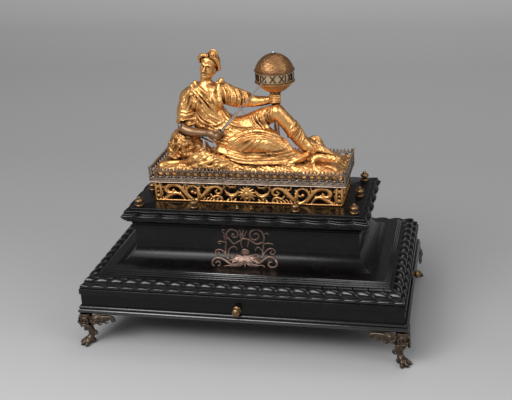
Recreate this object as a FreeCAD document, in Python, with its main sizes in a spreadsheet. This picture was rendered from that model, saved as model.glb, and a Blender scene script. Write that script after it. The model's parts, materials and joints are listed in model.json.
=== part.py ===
"""Automaton clock: a stepped black case on claw feet, a pierced frieze and a gallery,
and a reclining woman who points at the turning hour band of a globe.

The origin is on the floor under the middle of the case. X runs along the front,
the front faces -Y, and Z is up. Lengths are in millimetres.
"""
import FreeCAD, Part
import math
import os
import Sketcher
from FreeCAD import Placement, Rotation, Vector

SIZES = (
    # case, from the floor up
    ("base_length", 340.0), ("base_depth", 208.0), ("foot_height", 37.2),
    ("board_thick", 9.1), ("face_height", 11.6), ("cornice_height", 7.4),
    ("slope_rise", 9.7), ("step_rise", 2.5), ("cove_height", 38.5),
    ("crown_height", 7.9), ("cap_wave_height", 7.6), ("cap_thick", 4.4),
    ("frieze_height", 21.0), ("deck_thick", 2.6), ("gallery_height", 14.5),
    # insets of the case's faces from the edge of the foot moulding
    ("face_inset", 3.7), ("cornice_inset", 2.6), ("slope_foot_inset", 4.2),
    ("slope_top_inset", 19.4), ("step_inset", 19.9), ("step_run", 1.2),
    ("cove_foot_inset", 34.0), ("cove_inset", 52.3), ("crown_inset", 46.4),
    ("cap_wave_inset", 43.6), ("cap_inset", 46.8),
    ("wall", 9.0), ("board_inset", 10.0), ("lip", 1.2), ("cornice_lip", 1.8),
    ("cornice_land", 21.4), ("crown_lip", 1.5),
    # wave mouldings
    ("slope_pitch", 16.4), ("slope_wave", 1.6), ("slope_strip", 0.9),
    ("cap_pitch", 24.6), ("cap_wave", 1.6), ("cap_strip", 2.0),
    # feet
    ("foot_inset", 14.0), ("bracket_length", 38.0),
    ("bracket_thick", 6.0),
    # small ornaments on the cap, knobs and lock plate
    ("finial_height", 10.0), ("finial_radius", 4.6), ("finial_margin", 10.9),
    ("finial_screw", 1.4), ("finial_depth", 2.6), ("peg_radius", 1.3),
    ("peg_height", 3.6), ("peg_offset", 7.4), ("finial_third", 53.0),
    ("knob_radius", 4.3), ("knob_length", 8.6), ("knob_rod", 1.9),
    ("knob_reach", 20.0), ("knob_rise", 4.9), ("knob_gap", 0.3),
    ("plate_width", 70.0), ("plate_thick", 1.0), ("plate_foot", 2.6),
    ("plate_top", 4.0), ("key_radius", 3.0), ("key_slot", 1.4), ("key_drop", 9.0),
    # frieze, deck and gallery
    ("frieze_half", 98.0), ("frieze_half_depth", 31.5), ("frieze_wall", 1.8),
    ("frieze_pitch", 16.0), ("frieze_eye", 5.0), ("frieze_dot", 2.0),
    ("frieze_margin", 9.0), ("deck_overhang", 4.6), ("gallery_wall", 1.6),
    ("gallery_pitch", 7.5), ("gallery_hole", 2.1), ("gallery_bead", 1.6),
    ("gallery_bead_rise", 0.9), ("gallery_crest", 2.9), ("gallery_strip", 5.2),
    # ground, and figure, whose places and girths are shares of its own size
    ("ground_height", 12.5), ("ground_round", 3.0), ("figure_size", 100.0),
    ("part_gap", 0.3), ("elbow_radius", 6.4), ("elbow_pin", 1.2), ("elbow_cheek", 4.0),
    ("elbow_front", 7.0), ("elbow_back", 7.2), ("forearm_room", 1.1),
    # pointer
    ("pointer_length", 84.0), ("pointer_aside", 4.0), ("holder_length", 46.0), ("holder_radius", 1.5),
    ("holder_bore", 0.66), ("wire_radius", 0.6), ("wire_start", 18.0),
    ("screw_radius", 0.8), ("screw_head", 2.0), ("screw_length", 3.2),
    ("screw_head_thick", 1.2), ("screw_place", 43.0),
    # lifting rod of the arm
    ("rod_radius", 1.5),
    ("lever_length", 13.0), ("lever_width", 5.0), ("lever_thick", 1.2),
    ("lever_drop", 5.4),
    # globe and its three nested tubes
    ("globe_x", 28.0), ("globe_radius", 20.0), ("globe_rim", 20.85),
    ("globe_centre", 106.4), ("band_drop", 2.2), ("band_radius", 18.6), ("band_height", 9.4),
    ("rim_height", 1.6), ("shell", 1.4), ("globe_gap", 0.3), ("globe_knob", 2.1),
    ("globe_knob_height", 2.6), ("cup_radius", 5.4), ("cup_height", 3.4),
    ("stem_radius", 4.0), ("stem_length", 13.0), ("stem_knob", 5.2),
    ("tube_radius", 3.0), ("core_radius", 1.8), ("tube_room", 0.7),
    ("spider_thick", 1.2), ("spider_width", 3.0),
    # fits
    ("fit", 0.06), ("end_play", 0.3), ("backlash", 0.16),
    # movement plates
    ("movement_x", 2.0), ("plate_half", 101.0), ("plate_half_depth", 34.0),
    ("movement_plate", 2.5), ("post_height", 11.7), ("plate_space", 37.5),
    ("post_radius", 4.0), ("post_margin", 7.0), ("pivot", 1.0), ("arbor", 1.6),
    # barrels and great wheels
    ("going_x", 58.0), ("train_y", 6.0), ("strike_x", 40.0),
    ("barrel_radius", 21.0), ("barrel_height", 19.0), ("barrel_wall", 1.6),
    ("great_module", 1.0), ("great_thick", 2.4), ("barrel_arbor", 2.5),
    ("barrel_sleeve", 5.0), ("square", 3.4), ("square_length", 11.0),
    ("winding_hole", 6.0), ("barrel_lift", 1.6),
    ("ratchet_radius", 7.0), ("ratchet_tooth", 1.2), ("ratchet_thick", 2.0),
    ("click_length", 13.0), ("click_width", 3.0), ("click_thick", 1.6),
    # trains
    ("wheel_module", 0.8), ("wheel_thick", 1.8), ("pinion_long", 4.4),
    ("wheel_level", 27.5), ("last_level", 32.0), ("motion_module", 0.9),
    ("motion_thick", 2.2), ("motion_level", 1.5), ("motion_face", 3.0),
    ("wheel_hole", 3.6),
    ("contrate_radius", 12.0), ("contrate_wall", 1.4), ("contrate_tooth", 2.4),
    ("crown_radius", 9.4), ("crown_wall", 1.1), ("crown_thick", 1.6),
    ("crown_depth", 3.6), ("crown_tooth", 2.2), ("crown_pinion", 3.2),
    ("crown_gap", 0.16), ("crown_place", 20.6), ("crown_bearing", 14.4),
    ("bearing_thick", 4.4), ("bearing_width", 6.0), ("verge_radius", 0.9),
    ("verge_gap", 2.0), ("pallet", 1.6), ("pallet_height", 2.4),
    ("balance_radius", 13.5), ("balance_rim", 1.6), ("balance_thick", 1.6),
    ("balance_spoke", 1.8), ("balance_level", 1.8), ("cock_height", 6.4),
    ("cock_thick", 1.8), ("cock_width", 8.0), ("cock_reach", 21.0),
    # striking work
    ("pin_circle", 16.6), ("pin_radius", 0.6), ("pin_rise", 2.3),
    ("fly_length", 10.0), ("fly_height", 5.0), ("fly_thick", 0.8),
    ("cam_radius", 17.2), ("cam_thick", 2.0),
    ("hammer_x", 4.0), ("hammer_y", 12.0), ("hammer_arm", 42.0),
    ("hammer_head", 3.0), ("hammer_length", 7.0), ("hammer_width", 2.0),
    ("hammer_thick", 1.6), ("hammer_tail", 10.3), ("hammer_level", 10.6),
    ("bell_x", 62.0), ("bell_y", 6.0), ("bell_radius", 22.0), ("bell_height", 12.5),
    ("bell_wall", 1.2), ("bell_lift", 4.6), ("bell_post", 2.0), ("bell_nut", 3.2),
)

# counts and angles
GREAT_TEETH = 48
WHEEL_TEETH = 48
PINION_LEAVES = 12
MOTION_TEETH = 48
MOTION_LEAVES = 20
CONTRATE_TEETH = 36
CROWN_TEETH = 15
RATCHET_TEETH = 12
PRESSURE = math.radians(25.0)
CENTRE_BEARING = 140.0
CONTRATE_BEARING = 20.0
STRIKE_BEARING = 40.0
FLY_BEARING = 160.0
HAMMER_SWING = 10.0
ARM_SWING = (0.0, 5.0, 10.0)
ADDENDUM = 0.9
DEDENDUM = 1.2
PIN_COUNT = 8
CROSSING_COUNT = 5
PALLET_TURN = 50.0
PLATE_BEND = math.radians(82.0)

# places on the figure, from the deck up, as shares of the figure's size
ELBOW_SHARES = (-0.71, -0.09, 0.55)
POINTER_SHARES = (-0.322, -0.24, 0.434)
ROD_SHARES = (-0.45, -0.20, 0.426)
# the knob and shoulder of the globe's stem, from its foot, as shares of its length
STEM_SHARES = (0.10, 0.22, 0.34)


class Size:
    """A length of the sheet, or a sum of such lengths, as a number and as an expression."""

    def __init__(self, value, text):
        self.value = value
        self.text = text

    def joined(self, sign, other, value):
        return Size(value, f"({self.text} {sign} {as_size(other).text})")

    def __float__(self):
        return self.value

    def __add__(self, other):
        return self.joined("+", other, self.value + float(other))

    def __radd__(self, other):
        return as_size(other) + self

    def __sub__(self, other):
        return self.joined("-", other, self.value - float(other))

    def __rsub__(self, other):
        return as_size(other) - self

    def __mul__(self, other):
        return self.joined("*", other, self.value * float(other))

    def __rmul__(self, other):
        return as_size(other) * self

    def __truediv__(self, other):
        return self.joined("/", other, self.value / float(other))

    def __neg__(self):
        return Size(-self.value, f"(-1 * {self.text})")


def as_size(number):
    if isinstance(number, Size):
        return number
    return Size(float(number), repr(float(number)))


class Sizes:
    """The sheet of driving dimensions, one attribute for each alias."""

    def __init__(self, document, table):
        sheet = document.addObject("Spreadsheet::Sheet", "Dims")
        for row, (name, value) in enumerate(table, 1):
            sheet.set(f"A{row}", name)
            sheet.set(f"B{row}", str(value))
            sheet.setAlias(f"B{row}", name)
            setattr(self, name, Size(value, f"Dims.{name}"))


doc = FreeCAD.newDocument("automaton_clock")
d = Sizes(doc, SIZES)
doc.recompute()
sub_parts = []

# levels and half widths that several pieces share
half_length = d.base_length / 2
half_depth = d.base_depth / 2
board_top = d.foot_height + d.board_thick
face_top = board_top + d.face_height
cornice_top = face_top + d.cornice_height
slope_top = cornice_top + d.slope_rise
step_top = slope_top + d.step_rise * 2
cove_top = step_top + d.cove_height
crown_top = cove_top + d.crown_height
wave_top = crown_top + d.cap_wave_height
cap_top = wave_top + d.cap_thick
frieze_top = cap_top + d.frieze_height
deck_top = frieze_top + d.deck_thick
inner_inset = d.cove_inset + d.wall
lower_plate = board_top + d.post_height
lower_plate_top = lower_plate + d.movement_plate
upper_plate = lower_plate_top + d.plate_space
upper_plate_top = upper_plate + d.movement_plate
ground_half = d.frieze_half + d.deck_overhang - d.gallery_bead_rise - d.gallery_wall - d.part_gap
ground_half_depth = ground_half - d.frieze_half + d.frieze_half_depth
elbow_x, elbow_y, elbow_z = (d.figure_size * share for share in ELBOW_SHARES)
pointer_x, pointer_y, pointer_z = (d.figure_size * share for share in POINTER_SHARES)
rod_x, rod_y, rod_top = (d.figure_size * share for share in ROD_SHARES)


def num(*values):
    return [float(v) for v in values]


def at(x, y, z):
    return Vector(float(x), float(y), float(z))


# builders for features that are bound to the sheet

def keep(obj):
    sub_parts.append(obj)
    return obj


def bind(obj, **links):
    for name, length in links.items():
        obj.setExpression(name, as_size(length).text)


def put(obj, x, y, z):
    bind(obj, **{"Placement.Base.x": x, "Placement.Base.y": y, "Placement.Base.z": z})
    return obj


def new_body(label):
    body = doc.addObject("PartDesign::Body", label)
    body.Label = label
    return body


def new_sketch(body, role, name="Outline"):
    plane = [f for f in body.Origin.OriginFeatures if f.Role == role][0]
    sketch = body.newObject("Sketcher::SketchObject", f"{body.Name}_{name}")
    sketch.AttachmentSupport = (plane, "")
    sketch.MapMode = "FlatFace"
    return sketch


def pin_point(sketch, shape, end, x, y):
    """Ties one end of a sketch edge to its place from the origin."""
    for kind, length in (("DistanceX", x), ("DistanceY", y)):
        length = as_size(length)
        made = Sketcher.Constraint(kind, -1, 1, shape, end, length.value)
        index = sketch.addConstraint(made)
        sketch.setExpression(f"Constraints[{index}]", length.text)


def outline(sketch, corners):
    """A closed outline. A corner is (x, y), or (x, y, radius) where the edge that
    starts there is an arc, which bulges to the right of its direction; a negative
    radius bulges to the left."""
    ends = []
    for i, corner in enumerate(corners):
        nxt = corners[(i + 1) % len(corners)]
        a = Vector(float(corner[0]), float(corner[1]), 0)
        b = Vector(float(nxt[0]), float(nxt[1]), 0)
        if len(corner) == 2:
            shape = sketch.addGeometry(Part.LineSegment(a, b), False)
            ends.append((shape, 1, 2))
            continue
        radius = float(corner[2])
        chord = b - a
        side = Vector(chord.y, -chord.x, 0).normalize()
        size = abs(radius)
        depth = size - math.sqrt(max(size * size - chord.Length ** 2 / 4, 0))
        middle = (a + b) * 0.5 + side * math.copysign(depth, radius)
        if radius > 0:
            shape = sketch.addGeometry(Part.Arc(a, middle, b), False)
            ends.append((shape, 1, 2))
        else:
            shape = sketch.addGeometry(Part.Arc(b, middle, a), False)
            ends.append((shape, 2, 1))
        index = sketch.addConstraint(Sketcher.Constraint("Radius", shape, size))
        length = as_size(corner[2])
        text = length.text if radius > 0 else f"-1 * {length.text}"
        sketch.setExpression(f"Constraints[{index}]", text)
    for i, (shape, first, last) in enumerate(ends):
        follower = ends[(i + 1) % len(ends)]
        sketch.addConstraint(
            Sketcher.Constraint("Coincident", shape, last, follower[0], follower[1]))
        pin_point(sketch, shape, first, corners[i][0], corners[i][1])
    return sketch


def hole(sketch, x, y, radius):
    circle = Part.Circle(at(x, y, 0), Vector(0, 0, 1), float(radius))
    shape = sketch.addGeometry(circle, False)
    index = sketch.addConstraint(Sketcher.Constraint("Radius", shape, float(radius)))
    sketch.setExpression(f"Constraints[{index}]", as_size(radius).text)
    pin_point(sketch, shape, 3, x, y)


def rectangle(x0, y0, x1, y1):
    return [(x0, y0), (x1, y0), (x1, y1), (x0, y1)]


def extruded(body, sketch, kind, length, midplane=False, reverse=False):
    feature = body.newObject(f"PartDesign::{kind}", f"{sketch.Name}_{kind}")
    feature.Profile = sketch
    feature.Midplane = midplane
    feature.Reversed = reverse
    bind(feature, Length=length)
    return feature


def turned(label, corners, x, y, z, lying=None):
    """A turned piece: its outline stands on the XZ plane and turns about Z. A lying
    piece is turned over by the rotation that is given."""
    body = new_body(label)
    sketch = outline(new_sketch(body, "XZ_Plane"), corners)
    feature = body.newObject("PartDesign::Revolution", f"{label}_Turning")
    feature.Profile = sketch
    feature.ReferenceAxis = (sketch, ["V_Axis"])
    feature.Angle = 360.0
    if lying:
        body.Placement = Placement(Vector(), lying)
    return put(body, x, y, z)


def frame(label, corners):
    """A moulding frame: corners are (inset, height), swept round the case."""
    body = new_body(label)
    path = new_sketch(body, "XY_Plane", "Path")
    outline(path, rectangle(-half_length, -half_depth, half_length, half_depth))
    profile = new_sketch(body, "YZ_Plane", "Profile")
    outline(profile, [(c[0] - half_depth, *c[1:]) for c in corners])
    doc.recompute()
    pipe = body.newObject("PartDesign::AdditivePipe", f"{label}_Run")
    pipe.Profile = (profile, [""])
    pipe.Spine = (path, [f"Edge{i}" for i in range(1, 5)])
    pipe.Transition = "Right corner"
    return body


def board(label, corners, holes, thick, z):
    """A flat board with round holes, as (x, y, radius)."""
    body = new_body(label)
    sketch = outline(new_sketch(body, "XY_Plane"), corners)
    for x, y, radius in holes:
        hole(sketch, x, y, radius)
    extruded(body, sketch, "Pad", thick)
    return put(body, 0, 0, z)


def solid(label, shape):
    """A piece whose shape is worked out from the sheet by its own function."""
    feature = doc.addObject("Part::Feature", label)
    feature.Label = label
    feature.Shape = shape
    return feature


def rod(radius, low, high, x=0, y=0):
    return Part.makeCylinder(float(radius), float(high) - float(low), at(x, y, low))


def joined(shapes):
    return shapes[0].fuse(shapes[1:]) if len(shapes) > 1 else shapes[0]


def group(shapes):
    return Part.makeCompound(shapes)


# wave mouldings

def mitre(near_side, low, high):
    """The prism between two mitred corners, for the front or, turned, for a side."""
    long_half, short_half = num(half_length, half_depth)
    spread = long_half - short_half
    if near_side == "front":
        corners = [(-long_half, -short_half), (long_half, -short_half), (spread, 0), (-spread, 0)]
    else:
        corners = [(long_half, -short_half), (long_half, short_half), (spread, 0)]
    points = [Vector(x, y, float(low)) for x, y in corners]
    face = Part.Face(Part.makePolygon(points + points[:1]))
    return face.extrude(Vector(0, 0, float(high) - float(low)))


def wavy_strip(run, pitch, depth, thick, width):
    """A strip along X that lies on the XY plane from y = 0 to width; its upper side,
    toward +Z, has one round crest to each pitch."""
    count = max(2, round(run / pitch))
    step = run / count
    edges = []
    left = -run / 2
    for i in range(count):
        a = Vector(left + i * step, 0, thick)
        b = Vector(left + (i + 1) * step, 0, thick)
        crest = Vector(left + (i + 0.5) * step, 0, thick + depth)
        edges.append(Part.Arc(a, crest, b).toShape())
    low = [Vector(run / 2, 0, thick), Vector(run / 2, 0, 0), Vector(left, 0, 0),
           Vector(left, 0, thick)]
    edges += [Part.makeLine(low[i], low[i + 1]) for i in range(3)]
    return Part.Face(Part.Wire(edges)).extrude(Vector(0, width, 0))


def slope_waves():
    """Four mitred strips of waves on the sloping band of the plinth."""
    rise = float(slope_top) - float(cornice_top)
    run = float(d.slope_top_inset) - float(d.slope_foot_inset)
    tilt = math.degrees(math.atan2(rise, run))
    width = math.hypot(rise, run)
    strips = []
    for side, half_a, half_b in (("front", half_length, half_depth), ("side", half_depth, half_length)):
        strip = wavy_strip(2 * float(half_a), float(d.slope_pitch), float(d.slope_wave),
                           float(d.slope_strip), width)
        strip.rotate(Vector(), Vector(1, 0, 0), tilt)
        strip.translate(Vector(0, float(d.slope_foot_inset) - float(half_b), float(cornice_top)))
        if side == "side":
            strip.rotate(Vector(), Vector(0, 0, 1), 90)
        strip = strip.common(mitre(side, cornice_top, slope_top))
        twin = strip.copy()
        twin.rotate(Vector(), Vector(0, 0, 1), 180)
        strips += [strip, twin]
    return [s.Solids[0] for s in strips]


def cap_waves():
    """Four mitred strips of upright waves round the cap."""
    strips = []
    inset = float(d.cap_wave_inset)
    for side, half_a, half_b in (("front", half_length, half_depth), ("side", half_depth, half_length)):
        run = 2 * (float(half_a) - inset + float(d.cap_wave))
        strip = wavy_strip(run, float(d.cap_pitch), float(d.cap_wave), float(d.cap_strip),
                           float(d.cap_wave_height))
        strip.rotate(Vector(), Vector(1, 0, 0), 90)
        reach = float(half_b) - inset - float(d.cap_strip)
        strip.translate(Vector(0, -reach, float(crown_top)))
        if side == "side":
            strip.rotate(Vector(), Vector(0, 0, 1), 90)
        strip = strip.common(mitre(side, crown_top, wave_top))
        twin = strip.copy()
        twin.rotate(Vector(), Vector(0, 0, 1), 180)
        strips += [strip, twin]
    return [s.Solids[0] for s in strips]


def mitred_lengths(core, strips, low, high):
    """The four lengths of a wave moulding: under each strip lies its side of the core."""
    lengths = []
    for i, strip in enumerate(strips):
        room = mitre("front" if i < 2 else "side", low, high)
        if i % 2:
            room.rotate(Vector(), Vector(0, 0, 1), 180)
        lengths.append(joined([core.common(room), strip]))
    return lengths


# case

def make_case():
    knob_z = board_top + d.knob_rise
    arbors = [(d.going_x, -d.train_y, d.winding_hole), (-d.strike_x, -d.train_y, d.winding_hole)]
    inner_x, inner_y = half_length - d.board_inset, half_depth - d.board_inset
    keep(board("base_board", rectangle(-inner_x, -inner_y, inner_x, inner_y), arbors,
               d.board_thick, d.foot_height))
    keep(frame("bottom_moulding", [
        (d.board_inset, d.foot_height), (d.board_inset, board_top),
        (d.face_inset, board_top), (d.lip / 2, board_top - d.lip * 3, -(d.lip * 3)),
        (0, d.foot_height + d.lip * 2), (0, d.foot_height + d.lip), (d.lip, d.foot_height)]))
    walls = keep(frame("plinth_walls", rectangle(
        d.face_inset, board_top, d.face_inset + d.wall, face_top)))
    bores = new_sketch(walls, "XZ_Plane", "FrontBore")
    hole(bores, 0, knob_z, d.knob_rod + d.fit)
    extruded(walls, bores, "Pocket", half_depth, reverse=True)
    bores = new_sketch(walls, "YZ_Plane", "SideBore")
    hole(bores, 0, knob_z, d.knob_rod + d.fit)
    extruded(walls, bores, "Pocket", half_length, reverse=True)
    keep(frame("plinth_cornice", [
        (d.face_inset, face_top), (d.cornice_inset, face_top + d.cornice_lip),
        (d.cornice_inset, cornice_top), (d.cornice_land, cornice_top),
        (d.cornice_land, face_top)]))
    slope = frame("plinth_slope", [
        (d.slope_foot_inset, cornice_top), (d.slope_top_inset, slope_top),
        (d.cornice_land, slope_top), (d.cornice_land, cornice_top)])
    keep(frame("plinth_top", [
        (d.step_inset, slope_top), (d.step_inset, slope_top + d.step_rise),
        (d.step_inset + d.step_run, slope_top + d.step_rise),
        (d.step_inset + d.step_run, step_top), (inner_inset, step_top),
        (inner_inset, slope_top)]))
    radius = d.cove_inset - d.cove_foot_inset
    keep(frame("cove_case", [
        (d.cove_foot_inset, step_top, radius), (d.cove_inset, step_top + radius),
        (d.cove_inset, cove_top), (inner_inset, cove_top), (inner_inset, step_top)]))
    keep(frame("cap_crown", [
        (d.cove_inset, cove_top), (d.cove_inset - d.crown_lip, cove_top + d.crown_lip, -(d.crown_lip * 4)),
        (d.crown_inset, crown_top - d.crown_lip), (d.crown_inset, crown_top),
        (inner_inset, crown_top), (inner_inset, cove_top)]))
    back = d.cap_wave_inset + d.cap_strip
    core = frame("cap_core", rectangle(back, crown_top, inner_inset, wave_top))
    doc.recompute()
    keep(solid("plinth_waves", group(mitred_lengths(slope.Shape, slope_waves(), cornice_top, slope_top))))
    keep(solid("cap_waves", group(mitred_lengths(core.Shape, cap_waves(), crown_top, wave_top))))
    cap_x, cap_y = half_length - d.cap_inset, half_depth - d.cap_inset
    keep(board("cap_board", rectangle(-cap_x, -cap_y, cap_x, cap_y), [
        (d.globe_x, 0, d.tube_radius + d.tube_room),
        (rod_x, rod_y, d.rod_radius + d.tube_room),
        (-d.hammer_x, -d.hammer_y, d.arbor + d.fit),
        (-d.bell_x, d.bell_y, d.bell_post),
        *[(x, y, d.finial_screw) for x, y in finial_places()]], d.cap_thick, wave_top))


FOOT_SHARES = (
    # height, middle's inset and radius, as shares of the foot height and of its inset
    (1.00, 1.00, 0.80), (0.90, 0.86, 0.78), (0.78, 0.84, 0.70), (0.62, 0.98, 0.50),
    (0.46, 1.16, 0.34), (0.30, 1.14, 0.32), (0.17, 0.94, 0.44), (0.06, 0.86, 0.50),
    (0.00, 0.86, 0.46),
)
BRACKET_SHARES = (
    # run along the edge and height, as shares of the bracket's length and foot height
    (0.20, 1.00), (1.00, 1.00), (1.04, 0.88), (0.92, 0.76), (0.74, 0.70), (0.52, 0.58),
    (0.30, 0.56),
)


def mirrored(shape, across, base=Vector()):
    return shape.mirror(base, across).Solids[0]


def make_feet():
    height, inset = num(d.foot_height, d.foot_inset)
    corner = Vector(-float(half_length), -float(half_depth), 0)
    rings = []
    for high, middle, wide in FOOT_SHARES:
        centre = corner + Vector(middle * inset, middle * inset, high * height)
        rings.append(Part.Wire(Part.makeCircle(wide * inset, centre, Vector(0, 0, 1))))
    leg = Part.makeLoft(rings, True, False)
    length, thick = num(d.bracket_length, d.bracket_thick)
    points = [corner + Vector(a * length, inset / 2, b * height) for a, b in BRACKET_SHARES]
    bracket = Part.Face(Part.makePolygon(points + points[:1])).extrude(Vector(0, thick, 0))
    twin = mirrored(bracket, Vector(1, -1, 0), corner)
    feet = [joined([leg, bracket, twin])]
    feet.append(mirrored(feet[0], Vector(1, 0, 0)))
    feet += [mirrored(foot, Vector(0, 1, 0)) for foot in feet[:2]]
    keep(solid("claw_feet", group(feet)))


def finial_places():
    """Where the ten finials stand: the corners, the sides' middles and along the front."""
    edge_x = half_length - d.cap_inset - d.finial_margin
    edge_y = half_depth - d.cap_inset - d.finial_margin
    places = [(x, y) for x in (-edge_x, edge_x) for y in (-edge_y, as_size(0), edge_y)]
    return places + [(x, y) for x in (-d.finial_third, d.finial_third) for y in (-edge_y, edge_y)]


def finial_outline():
    r, tall = d.finial_radius, d.finial_height
    return [(0, -d.finial_depth), (d.finial_screw, -d.finial_depth), (d.finial_screw, 0),
            (r, 0), (r, tall * 0.14), (r * 0.5, tall * 0.24), (r * 0.42, tall * 0.34),
            (r * 0.94, tall * 0.5), (r * 0.98, tall * 0.62), (r * 0.6, tall * 0.78),
            (r * 0.42, tall * 0.86), (r * 0.36, tall * 0.96), (0, tall)]


def copies(pattern, places):
    shapes = []
    for x, y in places:
        shape = pattern.Shape.copy()
        shape.translate(at(x, y, 0))
        shapes.append(shape)
    return group(shapes)


def make_ornaments():
    finial = turned("finial_pattern", finial_outline(), 0, 0, cap_top)
    peg = turned("peg_pattern", [(0, 0), (d.peg_radius, 0), (d.peg_radius, d.peg_height * 0.8),
                                 (d.peg_radius * 0.8, d.peg_height), (0, d.peg_height)],
                 0, 0, cap_top)
    doc.recompute()
    keep(solid("finials", copies(finial, finial_places())))
    edge_y = half_depth - d.cap_inset - d.finial_margin
    keep(solid("cap_pegs", copies(peg, [(-d.peg_offset, -edge_y), (d.peg_offset, -edge_y)])))


def make_knobs():
    """Two pull knobs: each rod runs through the plinth's wall."""
    r, tall, gap = d.knob_radius, d.knob_length, d.knob_gap
    corners = [(0, -d.knob_reach), (d.knob_rod, -d.knob_reach), (d.knob_rod, gap), (r, gap),
               (r, tall * 0.2), (r * 0.55, tall * 0.34), (r * 0.55, tall * 0.46),
               (r, tall * 0.6), (r, tall * 0.82), (r * 0.5, tall), (0, tall)]
    level = board_top + d.knob_rise
    keep(turned("front_knob", corners, 0, d.face_inset - half_depth, level,
                Rotation(Vector(1, 0, 0), 90)))
    keep(turned("side_knob", corners, half_length - d.face_inset, 0, level,
                Rotation(Vector(0, 1, 0), 90)))


PLATE_SHARES = (
    # half of the lock plate's outline, as shares of its half width and its height
    (0.00, 0.04), (0.10, 0.10), (0.34, 0.02), (0.62, 0.06), (0.80, 0.00), (0.98, 0.06),
    (1.00, 0.20), (0.86, 0.28), (0.70, 0.24), (0.84, 0.34), (0.84, 0.44), (0.66, 0.44),
    (0.56, 0.34), (0.58, 0.52), (0.62, 0.62), (0.50, 0.62), (0.56, 0.84), (0.44, 0.98),
    (0.24, 0.96), (0.14, 0.86), (0.00, 0.98),
)

PLATE_EYE_SHARES = ((0.34, 0.78, 0.13), (0.36, 0.36, 0.10), (0.82, 0.13, 0.07))
KEY_SHARE = 0.62


def cove_face(offset):
    """The side view of the front cove, pushed out by an offset, from top to bottom."""
    radius = float(d.cove_inset - d.cove_foot_inset)
    middle = Vector(0, float(d.cove_foot_inset) - float(half_depth), float(step_top) + radius)
    reach = radius - offset
    top = Vector(0, middle.y + reach, float(cove_top))
    bend = middle + Vector(0, reach, 0)
    low, half = (middle + Vector(0, reach * math.cos(a), -reach * math.sin(a))
                 for a in (PLATE_BEND, PLATE_BEND / 2))
    return top, bend, half, low


def make_lock_plate():
    """A pierced plate that follows the cove, cut from a bent sheet by its outline."""
    gap, thick = num(d.part_gap, d.plate_thick)
    near, far = cove_face(gap), cove_face(gap + thick)
    edges = []
    for top, bend, half, low in (near, far):
        edges += [Part.makeLine(top, bend), Part.Arc(bend, half, low).toShape()]
    edges += [Part.makeLine(near[0], far[0]), Part.makeLine(near[3], far[3])]
    wire = Part.Wire(Part.__sortEdges__(edges))
    width = float(d.plate_width)
    sheet = Part.Face(wire).extrude(Vector(width * 1.1, 0, 0))
    sheet.translate(Vector(-width * 0.55, 0, 0))
    low = float(step_top + d.plate_foot)
    tall = float(cove_top - d.plate_top) - low
    half_outline = [Vector(a * width / 2, 0, low + b * tall) for a, b in PLATE_SHARES]
    other = [Vector(-p.x, 0, p.z) for p in reversed(half_outline[1:-1])]
    face = Part.Face(Part.makePolygon(half_outline + other + half_outline[:1]))
    prism = face.extrude(Vector(0, -float(half_depth), 0))
    key_z = low + KEY_SHARE * tall
    cutters = [Part.makeCylinder(float(d.key_radius), float(half_depth), Vector(0, 0, key_z),
                                 Vector(0, -1, 0))]
    slot, drop = num(d.key_slot, d.key_drop)
    cutters.append(Part.makeBox(2 * slot, float(half_depth), drop,
                                Vector(-slot, -float(half_depth), key_z - drop)))
    for side in (-1, 1):
        for x_share, z_share, r_share in PLATE_EYE_SHARES:
            eye = Vector(side * x_share * width / 2, 0, low + z_share * tall)
            cutters.append(Part.makeCylinder(r_share * width / 2, float(half_depth), eye,
                                             Vector(0, -1, 0)))
    plate = sheet.common(prism).cut(cutters)
    keep(solid("lock_plate", group([max(plate.Solids, key=lambda s: s.Volume)])))


# frieze, deck and gallery

def row_count(run, pitch, margin):
    return int((float(run) - 2 * float(margin)) / float(pitch)) + 1


def repeat(body, sketch_feature, count, pitch):
    pattern = body.newObject("PartDesign::LinearPattern", f"{sketch_feature.Name}_Row")
    pattern.Originals = [sketch_feature]
    pattern.Direction = (sketch_feature.Profile[0], ["H_Axis"])
    pattern.Mode = "Extent"
    pattern.Occurrences = count
    bind(pattern, Length=pitch * (count - 1))
    body.Tip = pattern
    return pattern


def pierced_panel(label, half_run, role="XZ_Plane"):
    """A frieze panel: a strip with a row of large scroll eyes and a row of small dots."""
    body = new_body(label)
    sketch = outline(new_sketch(body, role), rectangle(-half_run, 0, half_run, d.frieze_height))
    extruded(body, sketch, "Pad", d.frieze_wall)
    count = row_count(half_run * 2, d.frieze_pitch, d.frieze_margin)
    first = -(d.frieze_pitch * ((count - 1) / 2))
    middle = d.frieze_height / 2
    rise = d.frieze_eye + d.frieze_dot * 0.6
    rows = [(first, middle, d.frieze_eye, count)]
    shift = d.frieze_pitch / 2
    rows += [(first + shift, middle + rise, d.frieze_dot, count - 1),
             (first + shift, middle - rise, d.frieze_dot, count - 1),
             (first + shift, middle, d.frieze_dot, count - 1)]
    for i, (x, y, radius, times) in enumerate(rows):
        cut = new_sketch(body, role, f"Eye{i}")
        hole(cut, x, y, radius)
        doc.recompute()
        repeat(body, extruded(body, cut, "Pocket", d.frieze_wall * 3, midplane=True), times,
               d.frieze_pitch)
    return body


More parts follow.
